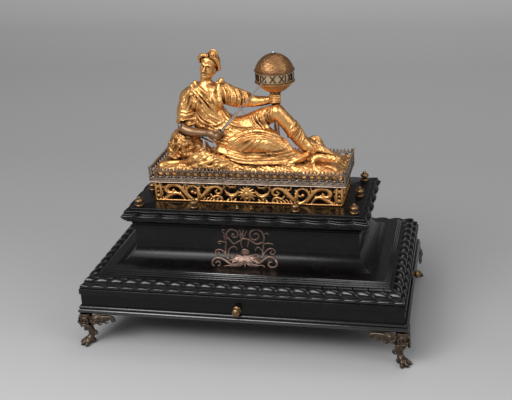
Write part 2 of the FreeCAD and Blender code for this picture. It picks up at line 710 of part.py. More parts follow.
def gallery_panel(label, half_run):
    """A gallery side: a plain strip, a row of openings, beads and a scalloped crest."""
    body = new_body(label)
    crest_base = d.gallery_height - d.gallery_crest
    sketch = new_sketch(body, "XZ_Plane")
    outline(sketch, rectangle(-half_run, 0, half_run, crest_base))
    extruded(body, sketch, "Pad", d.gallery_wall)
    count = row_count(half_run * 2, d.gallery_pitch, d.gallery_crest)
    first = -(d.gallery_pitch * ((count - 1) / 2))
    open_z = d.gallery_strip + d.gallery_hole + d.gallery_wall / 2
    for name, kind, z, radius, length, both in (
            ("Crest", "Pad", crest_base, d.gallery_crest, d.gallery_wall, False),
            ("Opening", "Pocket", open_z, d.gallery_hole, d.gallery_wall * 3, True)):
        cut = new_sketch(body, "XZ_Plane", name)
        hole(cut, first, z, radius)
        doc.recompute()
        repeat(body, extruded(body, cut, kind, length, midplane=both), count, d.gallery_pitch)
    bead = new_sketch(body, "XZ_Plane", "Bead")
    hole(bead, first, crest_base, d.gallery_bead)
    doc.recompute()
    repeat(body, extruded(body, bead, "Pad", d.gallery_wall + d.gallery_bead_rise), count,
           d.gallery_pitch)
    return body


def set_round(label, pattern, places, z):
    """Copies of a panel that stands along X with its face toward -Y."""
    shapes = []
    for turn, x, y in places:
        shape = pattern.Shape.copy()
        shape.rotate(Vector(), Vector(0, 0, 1), turn)
        shape.translate(at(x, y, z))
        shapes.append(shape)
    return keep(solid(label, group(shapes)))


def make_frieze():
    half_x, half_y, wall = d.frieze_half, d.frieze_half_depth, d.frieze_wall
    long_panel = pierced_panel("long_frieze", half_x)
    short_panel = pierced_panel("short_frieze", half_y - wall)
    doc.recompute()
    back = wall - half_y
    side = half_x - wall
    set_round("frieze_front", long_panel, [(0, 0, back)], cap_top)
    set_round("frieze_back", long_panel, [(180, 0, -back)], cap_top)
    set_round("frieze_ends", short_panel, [(90, side, 0), (-90, -side, 0)], cap_top)


def deck_half():
    return d.frieze_half + d.deck_overhang, d.frieze_half_depth + d.deck_overhang


def make_deck():
    deck_x, deck_y = deck_half()
    keep(board("deck_plate", rectangle(-deck_x, -deck_y, deck_x, deck_y), [
        (d.globe_x, 0, d.tube_radius + d.fit), (rod_x, rod_y, d.rod_radius + d.fit)],
        d.deck_thick, frieze_top))


def make_gallery():
    deck_x, deck_y = deck_half()
    inset = d.gallery_bead_rise
    long_panel = gallery_panel("long_gallery", deck_x - inset)
    short_panel = gallery_panel("short_gallery", deck_y - d.gallery_wall - inset)
    doc.recompute()
    front = d.gallery_wall + inset - deck_y
    side = deck_x - d.gallery_wall - inset
    set_round("gallery_front", long_panel, [(0, 0, front)], deck_top)
    set_round("gallery_back", long_panel, [(180, 0, -front)], deck_top)
    set_round("gallery_ends", short_panel, [(90, side, 0), (-90, -side, 0)], deck_top)


# figure and ground: places are shares of the figure's size, from the deck up

def share_point(point):
    reach = float(d.figure_size)
    return Vector(point[0] * reach, point[1] * reach, point[2] * reach + float(deck_top))


def limb(shares):
    """A round limb through middles and radii, (x, y, z, radius), as shares."""
    reach = float(d.figure_size)
    middles = [share_point(s) for s in shares]
    rings = []
    for i, middle in enumerate(middles):
        along = middles[min(i + 1, len(middles) - 1)] - middles[max(i - 1, 0)]
        rings.append(Part.Wire(Part.makeCircle(shares[i][3] * reach, middle, along)))
    return Part.makeLoft(rings, True, False)


def swell(shares):
    """A body of level ovals, (x, y, z, half width, half depth), as shares."""
    reach = float(d.figure_size)
    rings = []
    for share in shares:
        wide, deep = share[3] * reach, share[4] * reach
        middle = share_point(share)
        if wide >= deep:
            oval = Part.Ellipse(middle, wide, deep)
        else:
            oval = Part.Ellipse(middle + Vector(0, deep, 0), middle + Vector(-wide, 0, 0), middle)
        rings.append(Part.Wire(oval.toShape()))
    return Part.makeLoft(rings, True, False)


TORSO_SHARES = (
    (-0.26, 0.02, 0.12, 0.25, 0.20), (-0.27, 0.02, 0.34, 0.24, 0.19),
    (-0.42, 0.01, 0.54, 0.16, 0.14), (-0.46, 0.00, 0.74, 0.18, 0.145),
    (-0.455, 0.02, 0.90, 0.17, 0.11), (-0.44, 0.02, 0.96, 0.08, 0.07),
)
HEAD_SHARES = (
    (-0.435, 0.01, 0.94, 0.060, 0.060), (-0.425, 0.00, 1.01, 0.062, 0.064),
    (-0.41, -0.02, 1.07, 0.085, 0.095), (-0.395, -0.01, 1.15, 0.110, 0.120),
    (-0.385, 0.00, 1.23, 0.100, 0.110), (-0.365, 0.00, 1.30, 0.060, 0.070),
    (-0.36, 0.00, 1.325, 0.030, 0.035),
)
UPPER_ARM_SHARES = (
    (-0.60, 0.03, 0.90, 0.085), (-0.65, 0.02, 0.78, 0.100), (-0.69, 0.00, 0.62, 0.090),
    (-0.70, -0.02, 0.56, 0.075),
)
LEFT_ARM_SHARES = (
    (-0.32, 0.02, 0.93, 0.085), (-0.20, 0.01, 0.86, 0.105), (-0.05, 0.00, 0.79, 0.085),
    (0.04, 0.00, 0.785, 0.052), (0.18, 0.00, 0.785, 0.042), (0.24, -0.01, 0.79, 0.046),
)
THIGH_SHARES = (
    (-0.12, -0.06, 0.40, 0.14), (0.08, -0.10, 0.56, 0.125), (0.26, -0.135, 0.66, 0.095),
    (0.33, -0.14, 0.665, 0.080),
)
SHIN_SHARES = (
    (0.30, -0.14, 0.68, 0.075), (0.38, -0.13, 0.58, 0.080), (0.45, -0.11, 0.47, 0.085),
    (0.54, -0.09, 0.34, 0.060), (0.62, -0.09, 0.24, 0.055),
)
SHOE_SHARES = (
    (0.60, -0.09, 0.20, 0.065), (0.70, -0.11, 0.205, 0.065), (0.82, -0.13, 0.20, 0.055),
    (0.91, -0.145, 0.18, 0.035),
)
SKIRT_SHARES = (
    (-0.14, -0.12, 0.32, 0.19), (0.02, -0.17, 0.33, 0.165), (0.16, -0.19, 0.32, 0.155),
    (0.32, -0.18, 0.26, 0.120), (0.48, -0.16, 0.20, 0.080), (0.60, -0.15, 0.16, 0.050),
)
MOUND_SHARES = (
    (-0.74, -0.02, 0.11, 0.205, 0.26), (-0.735, -0.02, 0.27, 0.165, 0.21),
    (-0.75, -0.01, 0.40, 0.120, 0.15), (-0.765, 0.00, 0.455, 0.070, 0.09),
)
FOREARM_SHARES = (
    (-0.71, -0.09, 0.555, 0.066), (-0.60, -0.13, 0.52, 0.060), (-0.46, -0.185, 0.49, 0.048),
    (-0.38, -0.21, 0.475, 0.038), (-0.34, -0.23, 0.475, 0.046), (-0.275, -0.24, 0.48, 0.048),
)


def elbow():
    return at(elbow_x, elbow_y, deck_top + elbow_z)


def turned_arm(shape, angle):
    moved = shape.copy()
    moved.rotate(elbow(), Vector(0, -1, 0), angle)
    return moved


def pointer_line():
    """Where the pointer starts, behind the hand, and its direction toward the band."""
    start = at(pointer_x, pointer_y, deck_top + pointer_z)
    band = at(d.globe_x - d.pointer_aside, pointer_y, deck_top + d.globe_centre)
    return start, (band - start).normalize()


def along(radius, first, last):
    start, way = pointer_line()
    first, last = num(first, last)
    return Part.makeCylinder(float(radius), last - first, start + way * first, way)


def round_y(radius, front, back):
    """A cylinder along Y through the elbow, from in front of it to behind it."""
    front, back = num(front, back)
    return Part.makeCylinder(float(radius), front + back, elbow() - Vector(0, front, 0),
                             Vector(0, 1, 0))


def make_pointer_arm():
    holder = along(d.holder_radius, 0, d.holder_length).cut(
        along(d.holder_bore, 0, d.holder_length))
    arm = joined([limb(FOREARM_SHARES), round_y(d.elbow_radius, d.elbow_front, 0)])
    arm = arm.cut([along(d.holder_radius, 0, d.holder_length),
                   round_y(d.elbow_pin + d.fit, d.figure_size, d.figure_size),
                   round_y(d.elbow_radius + d.forearm_room, 0, d.figure_size)])
    start, way = pointer_line()
    across = Vector(way.z, 0, -way.x)
    seat = start + way * float(d.screw_place) + across * float(d.holder_radius)
    head = seat + across * float(d.screw_length)
    screw = joined([
        Part.makeCylinder(float(d.screw_radius), float(d.screw_length), seat, across),
        Part.makeCylinder(float(d.screw_head), float(d.screw_head_thick), head, across)])
    round_holder = along(d.holder_radius, 0, d.holder_length)
    screw = screw.cut(round_holder)
    keep(solid("right_forearm", arm))
    keep(solid("pointer_holder", holder))
    keep(solid("thumb_screw", screw))
    keep(solid("pointer_wire", along(d.wire_radius, d.wire_start, d.pointer_length)))


def make_arm_rod():
    low = upper_plate_top + d.motion_level + d.motion_face + d.cam_thick + d.end_play
    top = deck_top + rod_top
    stick = rod(d.rod_radius, low, top, rod_x, rod_y)
    length, width, thick, drop = num(d.lever_length, d.lever_width, d.lever_thick, d.lever_drop)
    lever = Part.makeBox(length, width, thick, Vector(-width / 2, -width / 2, -thick))
    lever.rotate(Vector(), Vector(0, 1, 0), math.degrees(math.asin(drop / length)))
    lever.translate(at(rod_x, rod_y, top))
    keep(solid("arm_rod", joined([stick, lever])))


def make_figure():
    head = swell(HEAD_SHARES)
    left_arm = limb(LEFT_ARM_SHARES)
    cheek = round_y(d.elbow_radius, -d.part_gap, d.elbow_cheek)
    torso = joined([swell(TORSO_SHARES), limb(UPPER_ARM_SHARES), cheek])
    leg = joined([limb(THIGH_SHARES), limb(SHIN_SHARES), limb(SHOE_SHARES)])
    skirt = limb(SKIRT_SHARES)
    mound = swell(MOUND_SHARES)
    ground = Part.makeBox(*num(ground_half * 2, ground_half_depth * 2, d.ground_height),
                          at(-ground_half, -ground_half_depth, deck_top))
    upright = [e for e in ground.Edges if abs(e.tangentAt(0).z) > 0.9]
    ground = ground.makeFillet(float(d.ground_round), upright)
    room = [round_y(d.elbow_radius + d.forearm_room, d.elbow_back + d.elbow_front, 0)]
    fat = [s[:3] + (s[3] + float(d.forearm_room / d.figure_size),) for s in FOREARM_SHARES]
    wide_arm = limb(fat).cut(round_y(d.elbow_radius, 0, d.figure_size))
    wide_pointer = along(d.holder_radius + d.forearm_room, 0, d.pointer_length)
    room += [turned_arm(piece, angle) for angle in ARM_SWING for piece in (wide_arm, wide_pointer)]
    stem_top = deck_top + d.globe_centre - d.globe_radius
    stem_low = stem_top - d.stem_length
    tubes = [rod(d.tube_radius + d.tube_room, deck_top, stem_low, d.globe_x, 0),
             rod(d.stem_radius, stem_low, stem_top, d.globe_x, 0),
             rod(d.stem_knob, stem_low, stem_low + d.stem_length * STEM_SHARES[2], d.globe_x, 0),
             rod(d.cup_radius, stem_top - d.cup_height, stem_top, d.globe_x, 0),
             Part.makeSphere(float(d.globe_rim + d.part_gap), at(d.globe_x, 0, deck_top + d.globe_centre)),
             rod(d.rod_radius + d.tube_room, deck_top, deck_top + rod_top, rod_x, rod_y)]
    pin = round_y(d.elbow_pin, d.elbow_front, d.elbow_cheek)
    keep(solid("elbow_pin", pin))
    pieces = [("figure_head", head, 0), ("figure_left_arm", left_arm, 0), ("figure_torso", torso, 1),
              ("figure_left_leg", leg, 1), ("figure_skirt", skirt, 1),
              ("mound", mound, 1), ("ground_cast", ground, 1)]
    done = []
    for label, shape, open_for_arm in pieces:
        cutters = done + tubes + [pin]
        if open_for_arm:
            cutters = cutters + room
        for cutter in cutters:
            shape = shape.cut(cutter)
        shape = max(shape.Solids, key=lambda s: s.Volume)
        done.append(shape)
        keep(solid(label, shape))


# globe

def root(size):
    return Size(math.sqrt(size.value), f"sqrt({size.text})")


def sphere_height(radius, across):
    return root(radius * radius - across * across)


def make_globe():
    centre = deck_top + d.globe_centre
    big, small = d.globe_radius, d.globe_radius - d.shell
    half_band = d.band_height / 2
    middle = centre - d.band_drop
    rise = half_band - d.band_drop + d.globe_gap
    rim_top = rise + d.rim_height
    keep(turned("globe_upper", [
        (root(small * small - rise * rise), rise), (d.globe_rim, rise), (d.globe_rim, rim_top),
        (root(big * big - rim_top * rim_top), rim_top, big),
        (d.core_radius, sphere_height(big, d.core_radius)),
        (d.core_radius, sphere_height(small, d.core_radius), -small)], d.globe_x, 0, centre))
    fall = half_band + d.band_drop + d.globe_gap
    rim_low = fall + d.rim_height
    bore = d.tube_radius + d.fit
    keep(turned("globe_lower", [
        (bore, -sphere_height(small, bore)), (bore, -sphere_height(big, bore), big),
        (root(big * big - rim_low * rim_low), -rim_low), (d.globe_rim, -rim_low),
        (d.globe_rim, -fall), (root(small * small - fall * fall), -fall, -small)],
        d.globe_x, 0, centre))
    inner = d.band_radius - d.shell
    ring = rod(d.band_radius, middle - half_band, middle + half_band, d.globe_x, 0)
    ring = ring.cut(rod(inner, middle - half_band, middle + half_band, d.globe_x, 0))
    wide, thick = num(d.spider_width, d.spider_thick)
    arms = [rod(d.tube_radius + d.spider_width, middle, middle + d.spider_thick, d.globe_x, 0)]
    for turn in (0, 120, 240):
        arm = Part.makeBox(float(inner + d.shell / 2), wide, thick, Vector(0, -wide / 2, 0))
        arm.rotate(Vector(), Vector(0, 0, 1), turn)
        arm.translate(at(d.globe_x, 0, middle))
        arms.append(arm)
    ring = joined([ring] + arms).cut(rod(d.tube_radius, middle - wide, middle + wide, d.globe_x, 0))
    keep(solid("hour_ring", ring))
    low = upper_plate_top + d.end_play
    tube = rod(d.tube_radius, low, middle + d.spider_thick, d.globe_x, 0)
    tube = tube.cut(rod(d.core_radius + d.fit, low, middle + d.spider_thick, d.globe_x, 0))
    level = upper_plate_top + d.motion_level
    bearing = math.degrees(math.atan2(-float(d.train_y), float(d.going_x - d.globe_x)))
    wheel = gear(MOTION_TEETH, d.motion_module, d.motion_thick, level, d.globe_x, 0, bearing, False)
    wheel = wheel.cut([rod(d.tube_radius, level, level + d.motion_thick, d.globe_x, 0)]
                      + crossings(d.motion_module, MOTION_TEETH, d.globe_x, 0, level))
    keep(solid("dial_tube", group([tube, wheel])))
    core = rod(d.core_radius, upper_plate, centre + d.globe_radius, d.globe_x, 0)
    r, tall = d.globe_knob, d.globe_knob_height
    knob = turned("globe_knob", [(0, 0), (r, 0), (r * 0.5, tall * 0.25), (r, tall * 0.55, r),
                                 (r * 0.4, tall), (0, tall)], d.globe_x, 0, centre + d.globe_radius)
    doc.recompute()
    keep(solid("globe_core", group([core] + knob.Shape.Solids)))
    long, wide = d.stem_length, d.stem_radius
    keep(turned("globe_stem", [
        (bore, -long), *[(d.stem_knob, long * (share - 1)) for share in STEM_SHARES[:2]],
        (wide, long * (STEM_SHARES[2] - 1)), (wide, -d.cup_height), (d.cup_radius, -d.cup_height * 0.4),
        (d.cup_radius, 0), (bore, 0)], d.globe_x, 0, centre - d.globe_radius))


# wheels

def polar(x, y, radius, angle):
    return Vector(x + radius * math.cos(angle), y + radius * math.sin(angle), 0)


def gear(teeth, module, thick, z, x, y, facing, gap):
    """A wheel with involute teeth that turns a tooth, or a gap, toward a bearing."""
    x, y, z, module, thick = num(x, y, z, module, thick)
    pitch = module * teeth / 2
    base, tip, foot = pitch * math.cos(PRESSURE), pitch + ADDENDUM * module, pitch - DEDENDUM * module
    start = max(base, foot)
    full = math.pi / (2 * teeth) - float(d.backlash) / (4 * pitch)

    def half_angle(radius):
        slope = math.acos(min(1.0, base / radius))
        return full + math.tan(PRESSURE) - PRESSURE - (math.tan(slope) - slope)

    step = 2 * math.pi / teeth
    turn = math.radians(facing) + (step / 2 if gap else 0)
    edges = []
    last = None
    first = None
    for i in range(teeth):
        mid = turn + i * step
        flank = [(r, half_angle(r)) for r in (start, (start + tip) / 2, tip)]
        rise = [polar(x, y, r, mid - a) for r, a in flank]
        fall = [polar(x, y, r, mid + a) for r, a in reversed(flank)]
        entry = polar(x, y, foot, mid - flank[0][1])
        leave = polar(x, y, foot, mid + flank[0][1])
        if last:
            edges.append(Part.makeLine(last, entry))
        else:
            first = entry
        if start > foot:
            edges.append(Part.makeLine(entry, rise[0]))
        edges += [Part.Arc(*rise).toShape(), Part.makeLine(rise[2], fall[0]),
                  Part.Arc(*fall).toShape()]
        if start > foot:
            edges.append(Part.makeLine(fall[2], leave))
        last = leave
    edges.append(Part.makeLine(last, first))
    face = Part.Face(Part.Wire(edges))
    return face.extrude(Vector(0, 0, thick)).translated(Vector(0, 0, z))


def crossings(module, teeth, x, y, z):
    """Round holes that lighten a wheel."""
    radius = float(module) * teeth / 4 + float(d.tube_radius) / 2
    holes = []
    for i in range(CROSSING_COUNT):
        angle = 2 * math.pi * i / CROSSING_COUNT
        spot = polar(float(x), float(y), radius, angle)
        holes.append(rod(d.wheel_hole, z, z + d.motion_face, spot.x, spot.y))
    return holes


def stepped(x, y, from_bearing, distance):
    angle = math.radians(from_bearing)
    return x + math.cos(angle) * distance, y + math.sin(angle) * distance


def gear_distance(module, first, second):
    return module * ((first + second) / 2)


def train_places():
    """The middles of the arbors, each set off from the one that drives it."""
    great = gear_distance(d.great_module, GREAT_TEETH, PINION_LEAVES)
    next_gear = gear_distance(d.wheel_module, WHEEL_TEETH, PINION_LEAVES)
    motion = gear_distance(d.motion_module, MOTION_TEETH, MOTION_LEAVES)
    going = (d.going_x, -d.train_y)
    strike = (-d.strike_x, -d.train_y)
    centre = stepped(*going, CENTRE_BEARING, great)
    contrate = stepped(*centre, CONTRATE_BEARING, next_gear)
    pins = stepped(*strike, STRIKE_BEARING, great)
    fly = stepped(*pins, FLY_BEARING, next_gear)
    count = (strike[0] - motion, strike[1])
    crown = contrate[0] + d.crown_place
    verge = (crown + d.crown_depth + d.verge_gap, contrate[1])
    return dict(going=going, strike=strike, centre=centre, contrate=contrate, pins=pins,
                fly=fly, count=count, crown=(crown, contrate[1]), verge=verge)


def make_plates(places):
    spread, margin = d.plate_half - d.post_margin, d.plate_half_depth - d.post_margin
    corners = rectangle(d.movement_x - d.plate_half, -d.plate_half_depth,
                        d.movement_x + d.plate_half, d.plate_half_depth)
    pivots = [(*places[n], d.pivot + d.fit) for n in ("centre", "contrate", "pins", "fly")]
    verge = (*places["verge"], d.verge_radius + d.fit)
    keep(board("lower_plate", corners, pivots + [verge] + [
        (*places[n], d.barrel_arbor + d.fit) for n in ("going", "strike")],
        d.movement_plate, lower_plate))
    keep(board("upper_plate", corners, pivots + [verge] + [
        (*places[n], d.barrel_sleeve + d.fit) for n in ("going", "strike")] + [
        (*places["count"], d.arbor + d.fit), (d.globe_x, 0, d.core_radius),
        (-d.hammer_x, -d.hammer_y, d.arbor + d.fit)], d.movement_plate, upper_plate))
    posts = []
    for x in (d.movement_x - spread, d.movement_x + spread):
        for y in (-margin, margin):
            posts.append(rod(d.post_radius, board_top, lower_plate, x, y))
            posts.append(rod(d.post_radius, lower_plate_top, upper_plate, x, y))
    keep(solid("movement_pillars", group(posts)))


def make_barrel(name, x, y, bearing, motion_bearing, cam):
    """A spring barrel with its great wheel, sleeve and motion pinion, and its arbor."""
    low = lower_plate_top + d.barrel_lift
    top = low + d.great_thick + d.barrel_height
    drum = rod(d.barrel_radius, low, top, x, y).cut(
        rod(d.barrel_radius - d.barrel_wall, low + d.great_thick, top - d.barrel_wall, x, y))
    level = upper_plate_top + d.motion_level
    shapes = [drum, gear(GREAT_TEETH, d.great_module, d.great_thick, low, x, y, bearing, False),
              rod(d.barrel_sleeve, top, level, x, y),
              gear(MOTION_LEAVES, d.motion_module, d.motion_face, level, x, y, motion_bearing, True)]
    if cam:
        face = level + d.motion_face
        shapes.append(rod(d.cam_radius, face, face + d.cam_thick, x, y))
    end = level + d.motion_face + d.cam_thick
    barrel = joined(shapes).cut(rod(d.barrel_arbor + d.fit, low, end, x, y))
    keep(solid(f"{name}_barrel", barrel))
    square, foot = float(d.square), lower_plate - d.square_length
    shaft = rod(d.barrel_arbor, lower_plate - d.end_play, end, x, y)
    winder = Part.makeBox(square, square, float(d.square_length - d.end_play),
                          at(x - d.square / 2, y - d.square / 2, foot))
    under = lower_plate - d.end_play - d.ratchet_thick
    ratchet = rod(d.ratchet_radius, under, lower_plate - d.end_play, x, y)
    notches = []
    for i in range(RATCHET_TEETH):
        angle = 360.0 * i / RATCHET_TEETH
        notch = Part.makeBox(float(d.ratchet_tooth), float(d.ratchet_tooth), float(d.square_length),
                             Vector(float(d.ratchet_radius - d.ratchet_tooth), 0, 0))
        notch.rotate(Vector(), Vector(0, 0, 1), angle)
        notch.translate(at(x, y, foot))
        notches.append(notch)
    keep(solid(f"{name}_arbor", joined([shaft, winder, ratchet.cut(notches)])))


def make_clicks(places):
    """A spring click for each ratchet, screwed under the lower plate."""
    clicks = []
    for name in ("going", "strike"):
        x, y = places[name]
        side = x + d.ratchet_radius + d.end_play
        clicks.append(Part.makeBox(*num(d.click_width, d.click_length, d.click_thick),
                                   at(side, y - d.click_length, lower_plate - d.click_thick)))
    keep(solid("clicks", group(clicks)))


def train_wheel(x, y, module, back_bearing, extras=(), wheel_bearing=None):
    """An arbor between the plates with a pinion, and a wheel where one is asked for."""
    pinion_mid = {True: lower_plate_top + d.barrel_lift + d.great_thick / 2,
                  False: lower_plate_top + d.wheel_level + d.wheel_thick / 2}
    middle = pinion_mid[wheel_bearing is not None]
    shapes = [rod(d.arbor, lower_plate_top + d.end_play, upper_plate - d.end_play, x, y),
              rod(d.pivot, lower_plate, upper_plate_top, x, y),
              gear(PINION_LEAVES, module, d.pinion_long, middle - d.pinion_long / 2, x, y,
                   back_bearing, True)]
    if wheel_bearing is not None:
        level = lower_plate_top + d.wheel_level
        wheel = gear(WHEEL_TEETH, d.wheel_module, d.wheel_thick, level, x, y, wheel_bearing, False)
        shapes.append(wheel.cut(crossings(d.wheel_module, WHEEL_TEETH, x, y, level)))
    return joined(shapes + list(extras))


def make_going_train(places):
    x, y = places["centre"]
    keep(solid("centre_wheel", train_wheel(x, y, d.great_module, CENTRE_BEARING + 180,
                                           wheel_bearing=CONTRATE_BEARING)))
    x, y = places["contrate"]
    level = lower_plate_top + d.last_level
    disc = rod(d.contrate_radius, level, level + d.wheel_thick, x, y)
    low = level - d.contrate_tooth
    wall = rod(d.contrate_radius, low, level, x, y).cut(
        rod(d.contrate_radius - d.contrate_wall, low, level, x, y))
    gaps = []
    wide = math.pi * float(d.contrate_radius) / CONTRATE_TEETH
    for i in range(CONTRATE_TEETH):
        gap = Part.makeBox(float(d.contrate_wall * 3), wide, float(d.contrate_tooth),
                           Vector(float(d.contrate_radius - d.contrate_wall * 2), -wide / 2, 0))
        gap.rotate(Vector(), Vector(0, 0, 1), 360.0 * i / CONTRATE_TEETH)
        gap.translate(at(x, y, low))
        gaps.append(gap)
    keep(solid("contrate_wheel", train_wheel(x, y, d.wheel_module, CONTRATE_BEARING + 180,
                                             [disc, wall.cut(gaps)])))


def make_crown(places):
    """The crown wheel on its lying arbor, and the bearing that hangs from the plate."""
    x, y = places["crown"]
    tip = lower_plate_top + d.last_level - d.contrate_tooth
    z = tip - d.crown_pinion - d.crown_gap
    start = places["contrate"][0] + d.contrate_radius - d.contrate_wall * 2

    def lying(radius, first, last):
        return Part.makeCylinder(float(radius), float(last) - float(first), at(first, y, z),
                                 Vector(1, 0, 0))

    rim = lying(d.crown_radius, x, x + d.crown_depth).cut(
        lying(d.crown_radius - d.crown_wall, x + d.crown_thick, x + d.crown_depth))
    gaps = []
    wide = 2 * math.pi * float(d.crown_radius) / CROWN_TEETH / 2
    for i in range(CROWN_TEETH):
        deep = float(d.crown_depth - d.crown_thick)
        gap = Part.makeBox(deep, wide, float(d.crown_wall * 3),
                           Vector(float(d.crown_thick), -wide / 2, float(d.crown_radius - d.crown_wall * 2)))
        gap.rotate(Vector(), Vector(1, 0, 0), 360.0 * i / CROWN_TEETH)
        gap.translate(at(x, y, z))
        gaps.append(gap)
    pinion = lying(d.crown_pinion, start, start + d.contrate_wall * 2)
    grooves = []
    for i in range(PINION_LEAVES):
        angle = 2 * math.pi * i / PINION_LEAVES
        reach = float(d.crown_pinion)
        groove = lying(d.crown_tooth / 5, start, start + d.contrate_wall * 2)
        groove.translate(Vector(0, reach * math.cos(angle), reach * math.sin(angle)))
        grooves.append(groove)
    first = places["contrate"][0] + d.crown_bearing
    shaft = lying(d.pivot, start, x + d.crown_thick)
    keep(solid("crown_wheel", joined([rim.cut(gaps), pinion.cut(grooves), shaft])))
    half = d.bearing_width / 2
    block = Part.makeBox(*num(d.bearing_thick, d.bearing_width, upper_plate - z + half),
                         at(first, y - half, z - half))
    block = block.cut(lying(d.pivot + d.fit, first, first + d.bearing_thick))
    return block, z


def make_balance(places, crown_z):
    x, y = places["verge"]
    low = upper_plate_top + d.balance_level
    high = low + d.balance_thick
    bridge = upper_plate_top + d.cock_height
    staff = rod(d.verge_radius, lower_plate, bridge + d.cock_thick, x, y)
    ring = rod(d.balance_radius, low, high, x, y).cut(
        rod(d.balance_radius - d.balance_rim, low, high, x, y))
    wide = d.balance_spoke
    long = (d.balance_radius - d.balance_rim / 2) * 2
    spokes = [Part.makeBox(*num(long, wide, d.balance_thick), at(x - long / 2, y - wide / 2, low)),
              Part.makeBox(*num(wide, long, d.balance_thick), at(x - wide / 2, y - long / 2, low))]
    pallets = []
    reach = d.crown_radius - d.crown_wall / 2
    for side, turn in ((1, PALLET_TURN), (-1, -PALLET_TURN)):
        flag = Part.makeBox(*num(d.pallet, d.verge_radius, d.pallet_height),
                            at(-d.pallet, -d.verge_radius / 2, -d.pallet_height / 2))
        flag.rotate(Vector(), Vector(0, 0, 1), turn)
        flag.translate(at(x, y, crown_z + side * reach))
        pallets.append(flag)
    keep(solid("balance", joined([staff, ring] + spokes + pallets)))
    half = d.cock_width / 2
    foot_y = y - d.cock_reach
    foot = Part.makeBox(*num(d.cock_width, d.cock_width * 0.75, d.cock_height),
                        at(x - half, foot_y, upper_plate_top))
    arm = Part.makeBox(*num(d.cock_width, d.cock_reach + half, d.cock_thick),
                       at(x - half, foot_y, bridge))
    return joined([foot, arm]).cut(rod(d.verge_radius + d.fit, bridge, bridge + d.cock_thick, x, y))


def make_strike_train(places):
    x, y = places["pins"]
    level = lower_plate_top + d.wheel_level + d.wheel_thick
    pins = []
    for i in range(PIN_COUNT):
        spot = polar(float(x), float(y), float(d.pin_circle), 2 * math.pi * (i + 0.5) / PIN_COUNT)
        pins.append(rod(d.pin_radius, level - d.wheel_thick, level + d.pin_rise, spot.x, spot.y))
    keep(solid("pin_wheel", train_wheel(x, y, d.great_module, STRIKE_BEARING + 180, pins,
                                        wheel_bearing=FLY_BEARING)))
    x, y = places["fly"]
    vane = Part.makeBox(*num(d.fly_length * 2, d.fly_thick, d.fly_height),
                        at(x - d.fly_length, y - d.fly_thick / 2, lower_plate_top + d.last_level))
    keep(solid("fly", train_wheel(x, y, d.wheel_module, FLY_BEARING + 180, [vane])))
    x, y = places["count"]
    level = upper_plate_top + d.motion_level
    wheel = gear(MOTION_TEETH, d.motion_module, d.motion_thick, level, x, y, 0.0, False)
    wheel = wheel.cut(crossings(d.motion_module, MOTION_TEETH, x, y, level))
    hub = rod(d.barrel_sleeve, upper_plate_top + d.end_play, level + d.motion_face, x, y)
    keep(solid("count_wheel", joined([wheel, hub, rod(d.arbor, upper_plate, level, x, y)])))


def make_hammer():
    x, y = -d.hammer_x, -d.hammer_y
    level = cap_top + d.hammer_level
    low = lower_plate_top + d.wheel_level + d.wheel_thick + d.end_play
    shapes = [rod(d.arbor, low, level + d.hammer_thick, x, y)]
    bell_x, bell_y = num(-d.bell_x - x, d.bell_y - y)
    toward = math.atan2(bell_y, bell_x)
    away = math.hypot(bell_x, bell_y)
    arm, touch = num(d.hammer_arm, d.bell_radius + d.hammer_head + d.end_play)
    strike = math.acos((away ** 2 + arm ** 2 - touch ** 2) / (2 * away * arm))
    rest = math.degrees(toward - strike) - HAMMER_SWING
    bar = Part.makeBox(*num(d.hammer_arm, d.hammer_width, d.hammer_thick),
                       at(0, -d.hammer_width / 2, 0))
    bar.rotate(Vector(), Vector(0, 0, 1), rest)
    bar.translate(at(x, y, level))
    shapes.append(bar)
    spot = polar(float(x), float(y), arm, math.radians(rest))
    middle = level + d.hammer_thick / 2
    shapes.append(rod(d.hammer_head, middle - d.hammer_length / 2, middle + d.hammer_length / 2,
                      spot.x, spot.y))
    pins_x, pins_y = train_places()["pins"]
    bearing = math.degrees(math.atan2(float(pins_y - y), float(pins_x - x)))
    tail = Part.makeBox(*num(d.hammer_tail, d.hammer_width, d.hammer_thick),
                        at(0, -d.hammer_width / 2, 0))
    tail.rotate(Vector(), Vector(0, 0, 1), bearing)
    tail.translate(at(x, y, low))
    keep(solid("hammer", joined(shapes + [tail])))


def make_bell():
    """A bell that stands mouth down on its post."""
    x, y, low = -d.bell_x, d.bell_y, cap_top + d.bell_lift
    r, tall, wall = d.bell_radius, d.bell_height, d.bell_wall
    bell = turned("bell_pattern", [
        (r - wall, 0), (r, 0), (r * 0.88, tall * 0.3), (r * 0.8, tall * 0.72, r * 0.6),
        (r * 0.5, tall), (d.bell_post, tall), (d.bell_post, tall - wall),
        (r * 0.5 - wall * 0.4, tall - wall, -(r * 0.6)), (r * 0.8 - wall, tall * 0.68),
        (r * 0.88 - wall, tall * 0.26)], x, y, low)
    doc.recompute()
    post = rod(d.bell_post, wave_top, low + d.bell_height, x, y)
    nut = rod(d.bell_nut, low + d.bell_height, low + d.bell_height + d.bell_post, x, y)
    keep(solid("bell", group([bell.Shape.Solids[0], joined([post, nut])])))


def check_and_write():
    """Every object has to be sound before any piece is written."""
    doc.recompute()
    for obj in doc.Objects:
        if "Invalid" in obj.State or "Error" in obj.State:
            raise RuntimeError(f"{obj.Label} failed: {obj.State}")
    unsound = [obj.Label for obj in sub_parts
               if obj.Shape.isNull() or not obj.Shape.isValid() or not obj.Shape.Solids]
    if unsound:
        raise RuntimeError(f"no sound solid in {unsound}")
    os.makedirs("parts", exist_ok=True)
    for obj in sub_parts:
        obj.Shape.exportStep(f"parts/{obj.Label}.step")
    print(len(sub_parts), "pieces written")


